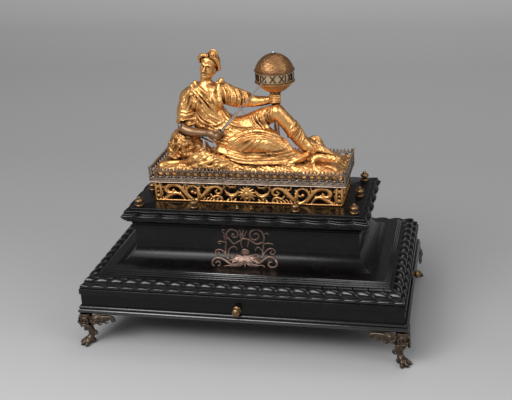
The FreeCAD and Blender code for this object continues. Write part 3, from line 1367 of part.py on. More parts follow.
make_case()
make_feet()
make_ornaments()
make_knobs()
make_lock_plate()
make_frieze()
make_deck()
make_gallery()
make_pointer_arm()
make_arm_rod()
make_figure()
make_globe()
arbor_places = train_places()
make_plates(arbor_places)
make_barrel("going", *arbor_places["going"], CENTRE_BEARING,
            math.degrees(math.atan2(float(d.train_y), float(d.globe_x - d.going_x))), False)
make_barrel("strike", *arbor_places["strike"], STRIKE_BEARING, 180.0, True)
make_clicks(arbor_places)
make_going_train(arbor_places)
potence, crown_level = make_crown(arbor_places)
cock = make_balance(arbor_places, crown_level)
keep(solid("escapement_cocks", group([potence, cock])))
make_strike_train(arbor_places)
make_hammer()
make_bell()
check_and_write()
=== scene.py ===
"""The looks of an automaton clock: an ebonised stepped case, a pierced gilt frieze, an engraved
silver gallery, and a gilt woman who points at the hour band of a globe.

Forms are worked out in millimetres and handed to Blender in metres. X runs along the front, the
front faces -Y, and Z is up, as in the frame.
"""

import json
import math

import bmesh
import bpy
import numpy as np
from mathutils import Matrix, Vector


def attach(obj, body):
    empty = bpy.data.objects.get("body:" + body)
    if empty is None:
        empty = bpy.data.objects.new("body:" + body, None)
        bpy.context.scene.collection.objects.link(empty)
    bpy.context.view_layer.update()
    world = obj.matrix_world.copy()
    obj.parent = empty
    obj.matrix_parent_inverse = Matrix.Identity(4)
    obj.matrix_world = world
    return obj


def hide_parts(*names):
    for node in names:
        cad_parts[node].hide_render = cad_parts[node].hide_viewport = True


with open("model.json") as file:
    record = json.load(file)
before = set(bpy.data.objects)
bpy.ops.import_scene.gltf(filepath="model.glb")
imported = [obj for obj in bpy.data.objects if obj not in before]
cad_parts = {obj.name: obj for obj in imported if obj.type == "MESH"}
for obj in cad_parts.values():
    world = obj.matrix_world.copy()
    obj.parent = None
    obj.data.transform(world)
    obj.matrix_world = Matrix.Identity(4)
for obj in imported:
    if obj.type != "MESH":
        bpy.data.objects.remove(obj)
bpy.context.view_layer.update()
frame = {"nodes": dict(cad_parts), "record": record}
MM = 0.001

# camera: millimetres and degrees, and the picture that its pixels are given in
CAMERA_PLACE = np.array([223.085, -927.448, 509.463])
CAMERA_TURN, CAMERA_DROP, CAMERA_ROLL = 13.426, 21.716, -3.149
CAMERA_LENS = 67.78
SENSOR = 36.0
PICTURE = (512, 400)
PIXELS_TO_FOCUS = CAMERA_LENS / SENSOR * PICTURE[0]


def camera_axes():
    """The camera's right, up and forward directions."""
    turn, drop, roll = (math.radians(a) for a in (CAMERA_TURN, CAMERA_DROP, CAMERA_ROLL))
    forward = np.array([-math.sin(turn) * math.cos(drop), math.cos(turn) * math.cos(drop), -math.sin(drop)])
    level = np.array([math.cos(turn), math.sin(turn), 0.0])
    upright = np.cross(level, forward)
    right = level * math.cos(roll) + upright * math.sin(roll)
    return right, np.cross(right, forward), forward


RIGHT, UP, FORWARD = camera_axes()


def sight(u, v):
    """The direction from the camera through a pixel of the picture."""
    across = (u - PICTURE[0] / 2) / PIXELS_TO_FOCUS
    down = (v - PICTURE[1] / 2) / PIXELS_TO_FOCUS
    return FORWARD + RIGHT * across - UP * down


def seen(u, v, y):
    """The point behind a pixel that lies at a depth y."""
    way = sight(u, v)
    return CAMERA_PLACE + way * ((y - CAMERA_PLACE[1]) / way[1])


# meshes

def make_object(name, points, faces, sharp_angle=None):
    """A mesh from points in millimetres. Edges that turn by more than the angle stay crisp."""
    mesh = bpy.data.meshes.new(name)
    mesh.from_pydata((np.asarray(points, float) * MM).tolist(), [], [tuple(f) for f in faces])
    mesh.validate()
    mesh.polygons.foreach_set("use_smooth", [True] * len(mesh.polygons))
    if sharp_angle is not None:
        mesh.set_sharp_from_angle(angle=math.radians(sharp_angle))
    obj = bpy.data.objects.new(name, mesh)
    bpy.context.scene.collection.objects.link(obj)
    return obj


class Heap:
    """Gathers the points and faces of several forms for one mesh."""

    def __init__(self):
        self.points = []
        self.faces = []
        self.count = 0

    def add(self, points, faces):
        points = np.asarray(points, float)
        self.points.append(points)
        self.faces += [tuple(i + self.count for i in face) for face in faces]
        self.count += len(points)

    def make(self, name, sharp_angle=None):
        return make_object(name, np.concatenate(self.points), self.faces, sharp_angle)


def rows_of_quads(rows, columns, close_rows=False, close_columns=False, flip=False):
    """Quads over a grid of points that is stored row by row."""
    faces = []
    for i in range(rows if close_rows else rows - 1):
        for j in range(columns if close_columns else columns - 1):
            a, b = i * columns + j, i * columns + (j + 1) % columns
            c, d = ((i + 1) % rows) * columns + (j + 1) % columns, ((i + 1) % rows) * columns + j
            faces.append((a, d, c, b) if flip else (a, b, c, d))
    return faces


def smooth_line(points, steps):
    """A smooth line through points, steps to each span."""
    p = np.asarray(points, float)
    padded = np.vstack([2 * p[0] - p[1], p, 2 * p[-1] - p[-2]])
    line = []
    for i in range(1, len(padded) - 2):
        a, b, c, d = padded[i - 1:i + 3]
        for t in np.linspace(0, 1, steps, endpoint=False):
            line.append(0.5 * (2 * b + (c - a) * t + (2 * a - 5 * b + 4 * c - d) * t ** 2
                               + (3 * b - a - 3 * c + d) * t ** 3))
    line.append(p[-1])
    return np.array(line)


def spread(values, count):
    """Values spread evenly over a number of points."""
    return np.interp(np.linspace(0, 1, count), np.linspace(0, 1, len(values)), values)


def lathe(heap, profile, centre, axis=(0, 0, 1), segments=48):
    """Turns a profile of (radius, height) about an axis and adds it to a heap."""
    axis = np.asarray(axis, float) / np.linalg.norm(axis)
    side = np.cross(axis, (0, 1, 0) if abs(axis[1]) < 0.9 else (1, 0, 0))
    side /= np.linalg.norm(side)
    other = np.cross(axis, side)
    profile = np.asarray(profile, float)
    angles = np.linspace(0, 2 * math.pi, segments, endpoint=False)
    around = np.cos(angles)[:, None] * side + np.sin(angles)[:, None] * other
    points = (np.asarray(centre, float) + profile[None, :, 1:2] * axis
              + profile[None, :, 0:1] * around[:, None, :]).reshape(-1, 3)
    faces = rows_of_quads(segments, len(profile), close_rows=True)
    kept = [tuple(dict.fromkeys(face)) for face in faces]
    heap.add(points, kept)


# clay: forms as distances on a grid, which blend softly and are then given a skin

# FAR is the distance held in empty space; MARGIN is a form's room in its window, beside its blend
FAR, MARGIN = 9.0, 1
WAVES_IN_ROUGHNESS = 9
PITCH_SPREAD = (0.6, 1.5)
PHASES = 6.3
# a fold's line breaks off where the surface jumps away; its ends thin out
JUMP = 9.0
STEPS_IN_FOLD = 4
FOLD_END, FOLD_FULLNESS = 0.18, 0.6
RIDGE_BLEND, GROOVE_BLEND = 1.2, 0.8


class Clay:
    """A block of voxels that holds the distance to a form, in millimetres; below 0 is inside."""

    def __init__(self, low, high, step):
        self.low = np.asarray(low, float)
        self.step = step
        self.count = np.ceil((np.asarray(high, float) - self.low) / step).astype(int) + 1
        self.field = np.full(self.count, FAR, np.float32)

    def window(self, low, high):
        """The slices between two corners, and the coordinates of their voxels."""
        first = np.clip(np.floor((np.asarray(low) - self.low) / self.step).astype(int), 0, self.count)
        last = np.clip(np.ceil((np.asarray(high) - self.low) / self.step).astype(int) + 1, 0, self.count)
        cut = tuple(slice(a, b) for a, b in zip(first, last))
        axes = [(self.low[i] + self.step * np.arange(first[i], last[i])).astype(np.float32)
                for i in range(3)]
        return cut, axes[0][:, None, None], axes[1][None, :, None], axes[2][None, None, :]

    def merge(self, cut, distance, blend, sign=1):
        old = self.field[cut] * sign
        if blend > 0:
            mix = np.clip(0.5 + 0.5 * (old - distance) / blend, 0, 1)
            new = old + (distance - old) * mix - blend * mix * (1 - mix)
        else:
            new = np.minimum(old, distance)
        self.field[cut] = new * sign

    def ball(self, centre, radii, blend=2.0, sign=1):
        """An ellipsoid of three radii, or a ball of one; sign -1 carves it out."""
        centre = np.asarray(centre, float)
        radii = np.broadcast_to(np.asarray(radii, float), 3)
        reach = radii.max() + blend + MARGIN
        cut, x, y, z = self.window(centre - reach, centre + reach)
        x, y, z = x - centre[0], y - centre[1], z - centre[2]
        near = np.sqrt((x / radii[0]) ** 2 + (y / radii[1]) ** 2 + (z / radii[2]) ** 2)
        slope = np.sqrt((x / radii[0] ** 2) ** 2 + (y / radii[1] ** 2) ** 2 + (z / radii[2] ** 2) ** 2)
        self.merge(cut, near * (near - 1) / np.maximum(slope, 1e-5), blend, sign)

    def chain(self, points, radii, blend=2.0, sign=1):
        """A round tube through points whose radius may change; sign -1 carves a groove."""
        points = np.asarray(points, float)
        radii = np.broadcast_to(np.asarray(radii, float), len(points))
        reach = radii.max() + blend + MARGIN
        cut, x, y, z = self.window(points.min(0) - reach, points.max(0) + reach)
        distance = np.full(self.field[cut].shape, FAR, np.float32)
        for a, b, ra, rb in zip(points[:-1], points[1:], radii[:-1], radii[1:]):
            run = b - a
            square = max(float(run @ run), 1e-6)
            t = np.clip(((x - a[0]) * run[0] + (y - a[1]) * run[1] + (z - a[2]) * run[2]) / square, 0, 1)
            gap = np.sqrt((x - a[0] - t * run[0]) ** 2 + (y - a[1] - t * run[1]) ** 2
                          + (z - a[2] - t * run[2]) ** 2)
            np.minimum(distance, gap - (ra + t * (rb - ra)), out=distance)
        self.merge(cut, distance, blend, sign)

    def slab(self, low, high, edge, blend):
        """A box with rounded edges."""
        low, high = np.asarray(low, float), np.asarray(high, float)
        middle, half = (low + high) / 2, (high - low) / 2 - edge
        reach = edge + blend + MARGIN
        cut, x, y, z = self.window(low - reach, high + reach)
        out = [np.abs(c - middle[i]) - half[i] for i, c in enumerate((x, y, z))]
        outside = np.sqrt(sum(np.maximum(o, 0) ** 2 for o in out))
        inside = np.minimum(np.maximum(np.maximum(out[0], out[1]), out[2]), 0)
        self.merge(cut, outside + inside - edge, blend)

    def along(self, axis):
        """The voxels' coordinates along one axis, shaped to fit the field."""
        shape = [1, 1, 1]
        shape[axis] = -1
        return (self.low[axis] + self.step * np.arange(self.count[axis])).reshape(shape)

    def keep_within(self, distance):
        """Cuts off all where a distance is above 0."""
        np.maximum(self.field, distance.astype(np.float32), out=self.field)

    def keep_above(self, height):
        """Cuts off all that is below a height."""
        self.keep_within(height - self.along(2).astype(np.float32))

    def roughen(self, height, pitch, seed):
        """Raises and lowers the surface by a soft pattern of waves."""
        random = np.random.default_rng(seed)
        cut, x, y, z = self.window(self.low, self.low + self.step * self.count)
        total = np.zeros(self.field[cut].shape, np.float32)
        for _ in range(WAVES_IN_ROUGHNESS):
            way = random.normal(size=3)
            way *= 2 * math.pi / pitch / np.linalg.norm(way) * random.uniform(*PITCH_SPREAD)
            total += np.sin(way[0] * x + way[1] * y + way[2] * z + random.uniform(0, PHASES))
        self.field[cut] += total * np.float32(height / math.sqrt(WAVES_IN_ROUGHNESS))

    def hit(self, u, v):
        """Where the sight line of a pixel first meets the form, or None."""
        way = sight(u, v)
        way = way / np.linalg.norm(way)
        middle = self.low + self.step * self.count / 2
        reach = self.step * self.count.max()
        start = float((middle - CAMERA_PLACE) @ way) - reach
        travel = start + np.arange(0, 2 * reach, self.step / 2)
        spots = CAMERA_PLACE + travel[:, None] * way
        index = np.rint((spots - self.low) / self.step).astype(int)
        good = np.all((index >= 0) & (index < self.count), axis=1)
        index = index[good]
        values = self.field[index[:, 0], index[:, 1], index[:, 2]]
        inside = np.nonzero(values < 0)[0]
        return spots[good][inside[0]] if len(inside) else None

    def fold(self, pixels, radius, lift, blend, sign=1):
        """A ridge, or with sign -1 a groove, along a line of pixels on the visible surface.
        It stands out, or goes in, by the lift, and runs out at both ends."""
        line = []
        for u, v in smooth_line(pixels, STEPS_IN_FOLD):
            spot = self.hit(u, v)
            if spot is not None and (not line or np.linalg.norm(spot - line[-1]) < JUMP):
                line.append(spot)
        if len(line) < 2:
            return
        line = np.array(line)
        toward = CAMERA_PLACE - line
        toward /= np.linalg.norm(toward, axis=1)[:, None]
        taper = np.sin(np.linspace(FOLD_END, math.pi - FOLD_END, len(line)))[:, None] ** FOLD_FULLNESS
        if sign > 0:
            line = line + toward * (lift * taper - radius)
        else:
            line = line + toward * (radius - lift * taper)
        self.chain(line, radius, blend, sign)

    def folds(self, ridges, grooves):
        """Ridges, then grooves: each a radius, a lift or a depth, and a line of pixels."""
        for radius, lift, line in ridges:
            self.fold(line, radius, lift, RIDGE_BLEND)
        for radius, depth, line in grooves:
            self.fold(line, radius, depth, GROOVE_BLEND, sign=-1)

    def skin(self):
        """Points and quads where the distance is zero."""
        f = self.field
        inside = f < 0
        inside[0], inside[-1] = False, False
        inside[:, 0], inside[:, -1] = False, False
        inside[:, :, 0], inside[:, :, -1] = False, False
        f = np.where(inside, f, np.maximum(f, 1e-4))
        corner = [(i, j, k) for i in (0, 1) for j in (0, 1) for k in (0, 1)]
        shape = [n - 1 for n in f.shape]

        def at_corner(grid, c):
            return grid[c[0]:c[0] + shape[0], c[1]:c[1] + shape[1], c[2]:c[2] + shape[2]]

        some = np.zeros(shape, bool)
        every = np.ones(shape, bool)
        for c in corner:
            part = at_corner(inside, c)
            some |= part
            every &= part
        cells = np.argwhere(some & ~every)
        number = np.full(shape, -1, np.int32)
        number[tuple(cells.T)] = np.arange(len(cells))
        values = {c: at_corner(f, c)[tuple(cells.T)] for c in corner}
        total = np.zeros((len(cells), 3))
        crossings = np.zeros(len(cells))
        for a in corner:
            for axis in range(3):
                if a[axis]:
                    continue
                b = tuple(1 if i == axis else a[i] for i in range(3))
                va, vb = values[a], values[b]
                cross = (va < 0) != (vb < 0)
                share = np.where(cross, va / np.where(cross, va - vb, 1), 0)
                spot = np.tile(np.array(a, float), (len(cells), 1))
                spot[:, axis] += share
                total += spot * cross[:, None]
                crossings += cross
        points = self.low + self.step * (cells + total / crossings[:, None])
        faces = []
        for axis in range(3):
            one, two = [i for i in range(3) if i != axis]
            lead = [slice(1, -1)] * 3
            lead[axis] = slice(0, -1)
            ahead = list(lead)
            ahead[axis] = slice(1, None)
            start, stop = inside[tuple(lead)], inside[tuple(ahead)]
            for leaving in (True, False):
                edges = np.argwhere((start & ~stop) if leaving else (~start & stop))
                edges[:, one] += 1
                edges[:, two] += 1
                ring = []
                for da, db in ((0, 0), (-1, 0), (-1, -1), (0, -1)):
                    cell = edges.copy()
                    cell[:, one] += da
                    cell[:, two] += db
                    ring.append(number[tuple(cell.T)])
                quads = np.stack(ring, axis=1)
                if leaving != (axis == 1):
                    quads = quads[:, ::-1]
                faces.append(quads)
        return points, np.concatenate(faces)

    def make(self, name, turn=None, shift=(0, 0, 0)):
        points, faces = self.skin()
        if turn is not None:
            points = points @ np.asarray(turn).T
        points = points + np.asarray(shift, float)
        return make_object(name, points, faces.tolist())


# finishes

def value(node, name, number):
    node.inputs[name].default_value = number


class Finish:
    """A material's node tree, with short calls for the nodes used here."""

    def __init__(self, name):
        self.material = bpy.data.materials.new(name)
        self.material.use_nodes = True
        self.tree = self.material.node_tree
        self.shader = self.tree.nodes["Principled BSDF"]
        self.place = self.tree.nodes.new("ShaderNodeTexCoord").outputs["Object"]

    def link(self, source, target):
        self.tree.links.new(source, target)
        return target

    def noise(self, size, detail, rough=0.55, stretch=None):
        """Soft noise whose lumps are about the size given, in millimetres."""
        node = self.tree.nodes.new("ShaderNodeTexNoise")
        value(node, "Scale", 1 / (size * MM))
        value(node, "Detail", detail)
        value(node, "Roughness", rough)
        place = self.place
        if stretch:
            mapping = self.tree.nodes.new("ShaderNodeMapping")
            value(mapping, "Scale", stretch)
            self.link(place, mapping.inputs["Vector"])
            place = mapping.outputs["Vector"]
        self.link(place, node.inputs["Vector"])
        return node.outputs["Fac"]

    def between(self, axis, low, high):
        """0 at one place along an axis and 1 at another, in metres."""
        split = self.tree.nodes.new("ShaderNodeSeparateXYZ")
        node = self.tree.nodes.new("ShaderNodeMapRange")
        value(node, "From Min", low)
        value(node, "From Max", high)
        self.link(self.place, split.inputs["Vector"])
        self.link(split.outputs[axis], node.inputs["Value"])
        return node.outputs["Result"]

    def hollows(self, reach):
        """1 in the open, toward 0 in creases, within a reach in millimetres."""
        node = self.tree.nodes.new("ShaderNodeAmbientOcclusion")
        node.samples = 8
        value(node, "Distance", reach * MM)
        return node.outputs["AO"]

    def ramp(self, source, *stops):
        node = self.tree.nodes.new("ShaderNodeValToRGB")
        marks = node.color_ramp.elements
        while len(marks) < len(stops):
            marks.new(0.5)
        for mark, (place, colour) in zip(marks, stops):
            mark.position = place
            mark.color = (*colour, 1) if isinstance(colour, tuple) else (colour, colour, colour, 1)
        self.link(source, node.inputs["Fac"])
        return node.outputs["Color"]

    def mix(self, share, one, two, how="MIX"):
        node = self.tree.nodes.new("ShaderNodeMix")
        node.data_type, node.blend_type = "RGBA", how
        for name, source in (("Factor", share), ("A", one), ("B", two)):
            socket = [s for s in node.inputs if s.name == name and s.enabled][0]
            if isinstance(source, (int, float)):
                socket.default_value = source
            elif isinstance(source, tuple):
                socket.default_value = (*source, 1)
            else:
                self.link(source, socket)
        return [s for s in node.outputs if s.name == "Result" and s.enabled][0]

    def bump(self, source, height, strength=1.0):
        """Relief of a height in millimetres."""
        node = self.tree.nodes.new("ShaderNodeBump")
        value(node, "Distance", height * MM)
        value(node, "Strength", strength)
        self.link(source, node.inputs["Height"])
        if self.shader.inputs["Normal"].is_linked:
            self.link(self.shader.inputs["Normal"].links[0].from_socket, node.inputs["Normal"])
        self.link(node.outputs["Normal"], self.shader.inputs["Normal"])


WOOD_DARK, WOOD_LIGHT = (0.0022, 0.0020, 0.0020), (0.0055, 0.0045, 0.0042)
WOOD_WORN = (0.010, 0.008, 0.0065)
DIRT_ROUGHNESS = (0.6, 0.6, 0.6)


def ebony(name, shine, rough):
    """Near black wood, evenly oiled or waxed to a brighter shine."""
    f = Finish(name)
    grain = f.noise(5.0, 6.0, 0.6, (0.25, 0.25, 1.6))
    base = f.ramp(grain, (0.30, WOOD_DARK), (0.75, WOOD_LIGHT))
    worn = f.ramp(f.noise(14.0, 5.0, 0.7), (0.55, 0.0), (0.75, 1.0))
    f.link(f.mix(worn, base, WOOD_WORN), f.shader.inputs["Base Color"])
    patch = f.ramp(f.noise(9.0, 5.0, 0.7), (0.3, rough[0]), (0.8, rough[1]))
    f.link(patch, f.shader.inputs["Roughness"])
    f.bump(grain, 0.012, 0.5)
    f.bump(f.noise(30.0, 2.0), 0.08, 0.5)
    value(f.shader, "Specular IOR Level", shine)
    return f.material


def metal(name, high, low, dirt_and_shade, rough, hollow=4.0, grain=0.06, dirt_and_shade_at=(0.45, 0.85)):
    """Aged metal: two tones by noise, dirt and painted shade darkening its hollows, and a fine uneven
    surface.
    """
    f = Finish(name)
    tone = f.ramp(f.noise(7.0, 5.0, 0.65), (0.32, low), (0.68, high))
    # the dark colour mixed into hollows and near other parts is partly dirt, partly painted shade
    clean_and_lit = f.ramp(f.hollows(hollow), (dirt_and_shade_at[0], 0.0), (dirt_and_shade_at[1], 1.0))
    f.link(f.mix(clean_and_lit, dirt_and_shade, tone), f.shader.inputs["Base Color"])
    value(f.shader, "Metallic", 1.0)
    patch = f.ramp(f.noise(3.0, 6.0, 0.7), (0.3, rough[0]), (0.75, rough[1]))
    f.link(f.mix(clean_and_lit, DIRT_ROUGHNESS, patch), f.shader.inputs["Roughness"])
    f.bump(f.noise(1.1, 5.0, 0.6), grain, 0.8)
    f.bump(f.noise(6.0, 3.0, 0.5), grain * 3, 0.6)
    return f.material


# shine and roughness from low to high
EBONIES = {"ebony": (0.24, (0.22, 0.32)),
           "waxed_ebony": (0.5, (0.15, 0.24)),
           "rubbed_ebony": (1.0, (0.17, 0.26))}
# light tone, dark tone, colour of dirt and painted shade, roughness from low to high, reach of hollows,
# height of the grain in millimetres, and how open a place is where that dark colour is full and where it ends
METALS = {
    "band_silver": ((0.86, 0.62, 0.37), (0.60, 0.42, 0.24), (0.05, 0.035, 0.022), (0.36, 0.5), 2.0, 0.05,
                    (0.5, 0.95)),
    "gilt": ((0.96, 0.54, 0.21), (0.80, 0.40, 0.13), (0.08, 0.027, 0.009), (0.31, 0.46), 4.0, 0.05,
             (0.55, 0.97)),
    "cup_gilt": ((0.72, 0.385, 0.14), (0.49, 0.24, 0.085), (0.07, 0.03, 0.012), (0.40, 0.55), 3.0, 0.05,
                 (0.55, 0.95)),
    "rock_gilt": ((0.66, 0.36, 0.14), (0.50, 0.24, 0.075), (0.07, 0.025, 0.010), (0.40, 0.55), 4.0, 0.05,
                  (0.55, 0.97)),
    "pale_gilt": ((0.41, 0.25, 0.14), (0.29, 0.172, 0.097), (0.08, 0.04, 0.02), (0.42, 0.56), 4.0, 0.04,
                  (0.5, 0.95)),
    "globe_gilt": ((0.41, 0.22, 0.098), (0.28, 0.14, 0.06), (0.06, 0.03, 0.015), (0.40, 0.55), 3.0, 0.05,
                   (0.55, 0.95)),
    "silver": ((0.42, 0.32, 0.25), (0.22, 0.165, 0.125), (0.014, 0.009, 0.007), (0.32, 0.46), 2.5, 0.05,
               (0.55, 0.95)),
    "old_silver": ((0.28, 0.188, 0.15), (0.15, 0.099, 0.078), (0.018, 0.011, 0.008), (0.38, 0.52), 1.5,
                   0.06, (0.5, 0.95)),
    "dark_bronze": ((0.145, 0.108, 0.08), (0.072, 0.053, 0.039), (0.014, 0.010, 0.008), (0.34, 0.5)),
    "bronze": ((0.34, 0.21, 0.105), (0.20, 0.115, 0.055), (0.04, 0.02, 0.010), (0.28, 0.42)),
    "steel": ((0.62, 0.62, 0.63), (0.45, 0.45, 0.47), (0.1, 0.09, 0.08), (0.2, 0.32), 1.0, 0.01),
    "brass": ((0.83, 0.62, 0.30), (0.70, 0.49, 0.21), (0.2, 0.12, 0.05), (0.2, 0.34), 2.0, 0.01),
    "bell_metal": ((0.78, 0.62, 0.38), (0.6, 0.46, 0.26), (0.2, 0.12, 0.06), (0.2, 0.3), 2.0, 0.01),
}
FINISHES = {name: ebony(name, *values) for name, values in EBONIES.items()}
FINISHES |= {name: metal(name, *values) for name, values in METALS.items()}


# case: sections of (inset, height) round the four sides, mitred at the corners

HALF_LENGTH, HALF_DEPTH = 170.0, 104.0
BOARD_LOW, BOARD_TOP, FACE_TOP, CORNICE_TOP = 37.2, 46.3, 57.9, 65.3
SLOPE_TOP, STEP_TOP, COVE_TOP, CROWN_TOP = 75.0, 80.0, 118.5, 126.4
WAVE_TOP, CAP_TOP = 134.0, 138.4
# insets: the inner sides of the upper case, the lower case and the board, then the plinth's face
INNER, PLINTH_INNER, BOARD_INNER, PLINTH_FACE = 61.3, 21.4, 10, 3.7
COVE_FOOT, COVE_INSET = 34.0, 52.3
SHARP = 34
STEPS_IN_WAVE, CREST_FULLNESS = 16, 0.75
WELD_REACH = 0.002
SOFT_STEPS = 2


def arc(centre, radius, first, last, steps):
    """Points on an arc of (inset, height); angles are in degrees from the inward direction."""
    angles = np.radians(np.linspace(first, last, steps + 1))
    return [(centre[0] + radius * math.cos(a), centre[1] + radius * math.sin(a)) for a in angles]


def run_round(name, section, node, finish="ebony", width=0.0, waves=None, lifts=None):
    """Runs a closed section round the case, its edges softened by a width. With waves, the counts
    of waves along the front and the side, each point moves by its lift at every crest."""
    section = np.asarray(section, float)
    lifts = np.zeros_like(section) if lifts is None else np.asarray(lifts, float)
    heap = Heap()
    for side in range(4):
        run, other = (HALF_LENGTH, HALF_DEPTH) if side % 2 == 0 else (HALF_DEPTH, HALF_LENGTH)
        count = waves[side % 2] if waves else 0
        t = np.linspace(-1, 1, count * STEPS_IN_WAVE + 1 if waves else 2)
        round_top = np.abs(np.cos(math.pi * count * (t + 1) / 2))
        crest = (round_top ** CREST_FULLNESS)[:, None]
        inset = section[:, 0] + lifts[:, 0] * crest
        x, y = t[:, None] * (run - inset), inset - other
        z = section[:, 1] + lifts[:, 1] * crest
        turn = math.pi / 2 * side
        cos, sin = round(math.cos(turn)), round(math.sin(turn))
        points = np.stack([x * cos - y * sin, x * sin + y * cos, z + 0 * x], axis=2).reshape(-1, 3)
        heap.add(points, rows_of_quads(len(t), len(section), close_columns=True))
    piece = heap.make(name, SHARP)
    weld(piece)
    if width:
        soften(piece, width)
    dress(piece, "case", "ebony", node, finish=finish)


def weld(obj):
    """Joins the points that meet and turns all faces outward."""
    work = bmesh.new()
    work.from_mesh(obj.data)
    bmesh.ops.remove_doubles(work, verts=work.verts, dist=WELD_REACH * MM)
    bmesh.ops.recalc_face_normals(work, faces=work.faces)
    work.to_mesh(obj.data)
    work.free()


def soften(obj, width):
    bevel = obj.modifiers.new("edges", "BEVEL")
    bevel.width, bevel.segments = width * MM, SOFT_STEPS
    bevel.limit_method, bevel.angle_limit = "ANGLE", math.radians(SHARP)


def dress(obj, body_name, slot_name, *nodes, finish=None):
    """A finished piece: it rides on its body, stands for its nodes and takes its slot's finish,
    or a finish of its own where that slot's pieces differ."""
    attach(obj, body_name)
    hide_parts(*nodes)
    obj.data.materials.clear()
    obj.data.materials.append(FINISHES[finish or slot_name])


def make_bottom_moulding():
    section = [(BOARD_INNER, BOARD_LOW), (BOARD_INNER, BOARD_TOP), (PLINTH_FACE, BOARD_TOP)]
    section += arc((2.6, 44.7), 1.5, 75, 290, 8)
    section += arc((2.6, 40.6), 2.6, 80, 270, 10)
    section += [(2.8, BOARD_LOW)]
    run_round("foot_moulding", section, "bottom_moulding", "rubbed_ebony", 0.25)


def make_cornice():
    section = [(PLINTH_FACE, FACE_TOP), (PLINTH_FACE, FACE_TOP + 1.0), (2.6, FACE_TOP + 1.4),
               (2.6, CORNICE_TOP - 1.5)]
    section += arc((3.4, CORNICE_TOP - 1.0), 1.0, 200, 90, 4)
    section += [(PLINTH_INNER, CORNICE_TOP), (PLINTH_INNER, FACE_TOP)]
    run_round("cornice", section, "plinth_cornice", width=0.25)


# across the slope: share of its width, height above it, share of the wave
SLOPE_SHAPE = ((0.00, -1.2, 0.8), (0.02, 0.0, 0.8), (0.06, 0.9, 0.8), (0.12, 1.3, 0.8), (0.18, 1.1, 0.8),
               (0.22, 0.6, 0.75), (0.25, 0.1, 0.75), (0.28, 0.6, 0.8), (0.33, 1.5, 0.95), (0.41, 2.4, 1.0),
               (0.49, 2.9, 1.0), (0.57, 3.0, 1.0), (0.65, 2.7, 1.0), (0.72, 2.1, 0.95), (0.78, 1.3, 0.8),
               (0.83, 0.3, 0.5), (0.86, 0.0, 0.1), (1.00, 0.0, 0.0))
SLOPE_FOOT_INSET, SLOPE_TOP_INSET = 4.2, 19.4
SLOPE_WAVE = 2.1
SLOPE_WAVES = (20, 12)


def make_plinth_waves():
    rise, run = SLOPE_TOP - CORNICE_TOP, SLOPE_TOP_INSET - SLOPE_FOOT_INSET
    width = math.hypot(rise, run)
    out = np.array([-rise, run]) / width
    section, lifts = [], []
    for share, height, wave in SLOPE_SHAPE:
        base = np.array([SLOPE_FOOT_INSET + run * share, CORNICE_TOP + rise * share])
        section.append(base + out * height)
        lifts.append(out * wave * SLOPE_WAVE)
    section += [(PLINTH_INNER, SLOPE_TOP), (PLINTH_INNER, CORNICE_TOP), (SLOPE_FOOT_INSET + 0.6, CORNICE_TOP)]
    lifts += [(0, 0)] * 3
    run_round("plinth_ripples", section, "plinth_waves", "waxed_ebony", waves=SLOPE_WAVES, lifts=lifts)


# reeds: half of an ellipse each, on a face that leans back by half a right angle
REEDS = ((20.95, 75.75), (22.45, 77.25), (23.95, 78.75))
REED_HALF, REED_RISE, REED_LEAN, REED_POINTS = 1.05, 0.62, math.sqrt(0.5), 9


def make_plinth_top():
    section = [(20.2, SLOPE_TOP)]
    for inset, height in REEDS:
        for t in np.radians(np.linspace(-90, 90, REED_POINTS)):
            along, up = REED_HALF * math.sin(t), REED_RISE * math.cos(t)
            section.append((inset + (along - up) * REED_LEAN, height + (along + up) * REED_LEAN))
    section += [(24.9, STEP_TOP), (INNER, STEP_TOP), (INNER, SLOPE_TOP)]
    run_round("plinth_reeds", section, "plinth_top", "rubbed_ebony")


def make_cove():
    radius = COVE_INSET - COVE_FOOT
    section = arc((COVE_FOOT, STEP_TOP + radius), radius, -90, 0, 22)
    section += [(COVE_INSET, COVE_TOP), (INNER, COVE_TOP), (INNER, STEP_TOP)]
    run_round("cove", section, "cove_case", width=0.5)


def make_crown():
    section = [(COVE_INSET, COVE_TOP), (50.6, COVE_TOP + 0.8), (50.6, COVE_TOP + 2.0)]
    section += arc((46.9, COVE_TOP + 2.3), 3.4, 0, 90, 8)[1:]
    section += [(46.6, CROWN_TOP - 1.9), (45.9, CROWN_TOP - 1.7), (45.9, CROWN_TOP), (INNER, CROWN_TOP),
                (INNER, COVE_TOP)]
    run_round("crown", section, "cap_crown", width=0.3)


CAP_WAVE = 3.0
CAP_WAVES = (10, 5)


def make_cap_waves():
    reeds = ((46.9, CROWN_TOP + 0.9, 0.9), (45.5, CROWN_TOP + 2.7, 1.0), (44.6, 131.0, 1.5),
             (46.2, 133.1, 0.9))
    section = [(INNER, CROWN_TOP)]
    for inset, height, radius in reeds:
        section += arc((inset + radius, height), radius, 250, 110, 8)
    section += [(47.6, WAVE_TOP), (INNER, WAVE_TOP)]
    lifts = [(0, 0)] + [(-CAP_WAVE, 0)] * (len(section) - 3) + [(0, 0)] * 2
    run_round("cap_ripples", section, "cap_waves", "waxed_ebony", waves=CAP_WAVES, lifts=lifts)


def make_cap_board():
    section = [(47.2, WAVE_TOP)] + arc((47.2, WAVE_TOP + 1.6), 1.3, 235, 75, 8)
    lifts = [(0, 0)] + [(-CAP_WAVE * 0.5, 0)] * (len(section) - 1)
    tail = [(48.6, WAVE_TOP + 2.4), (49.3, WAVE_TOP + 2.6)] + arc((50.4, CAP_TOP - 0.9), 0.9, 190, 90, 4)
    tail += [(HALF_DEPTH, CAP_TOP), (HALF_DEPTH, WAVE_TOP)]
    run_round("cap_top", section + tail, "cap_board", waves=CAP_WAVES, lifts=lifts + [(0, 0)] * len(tail))


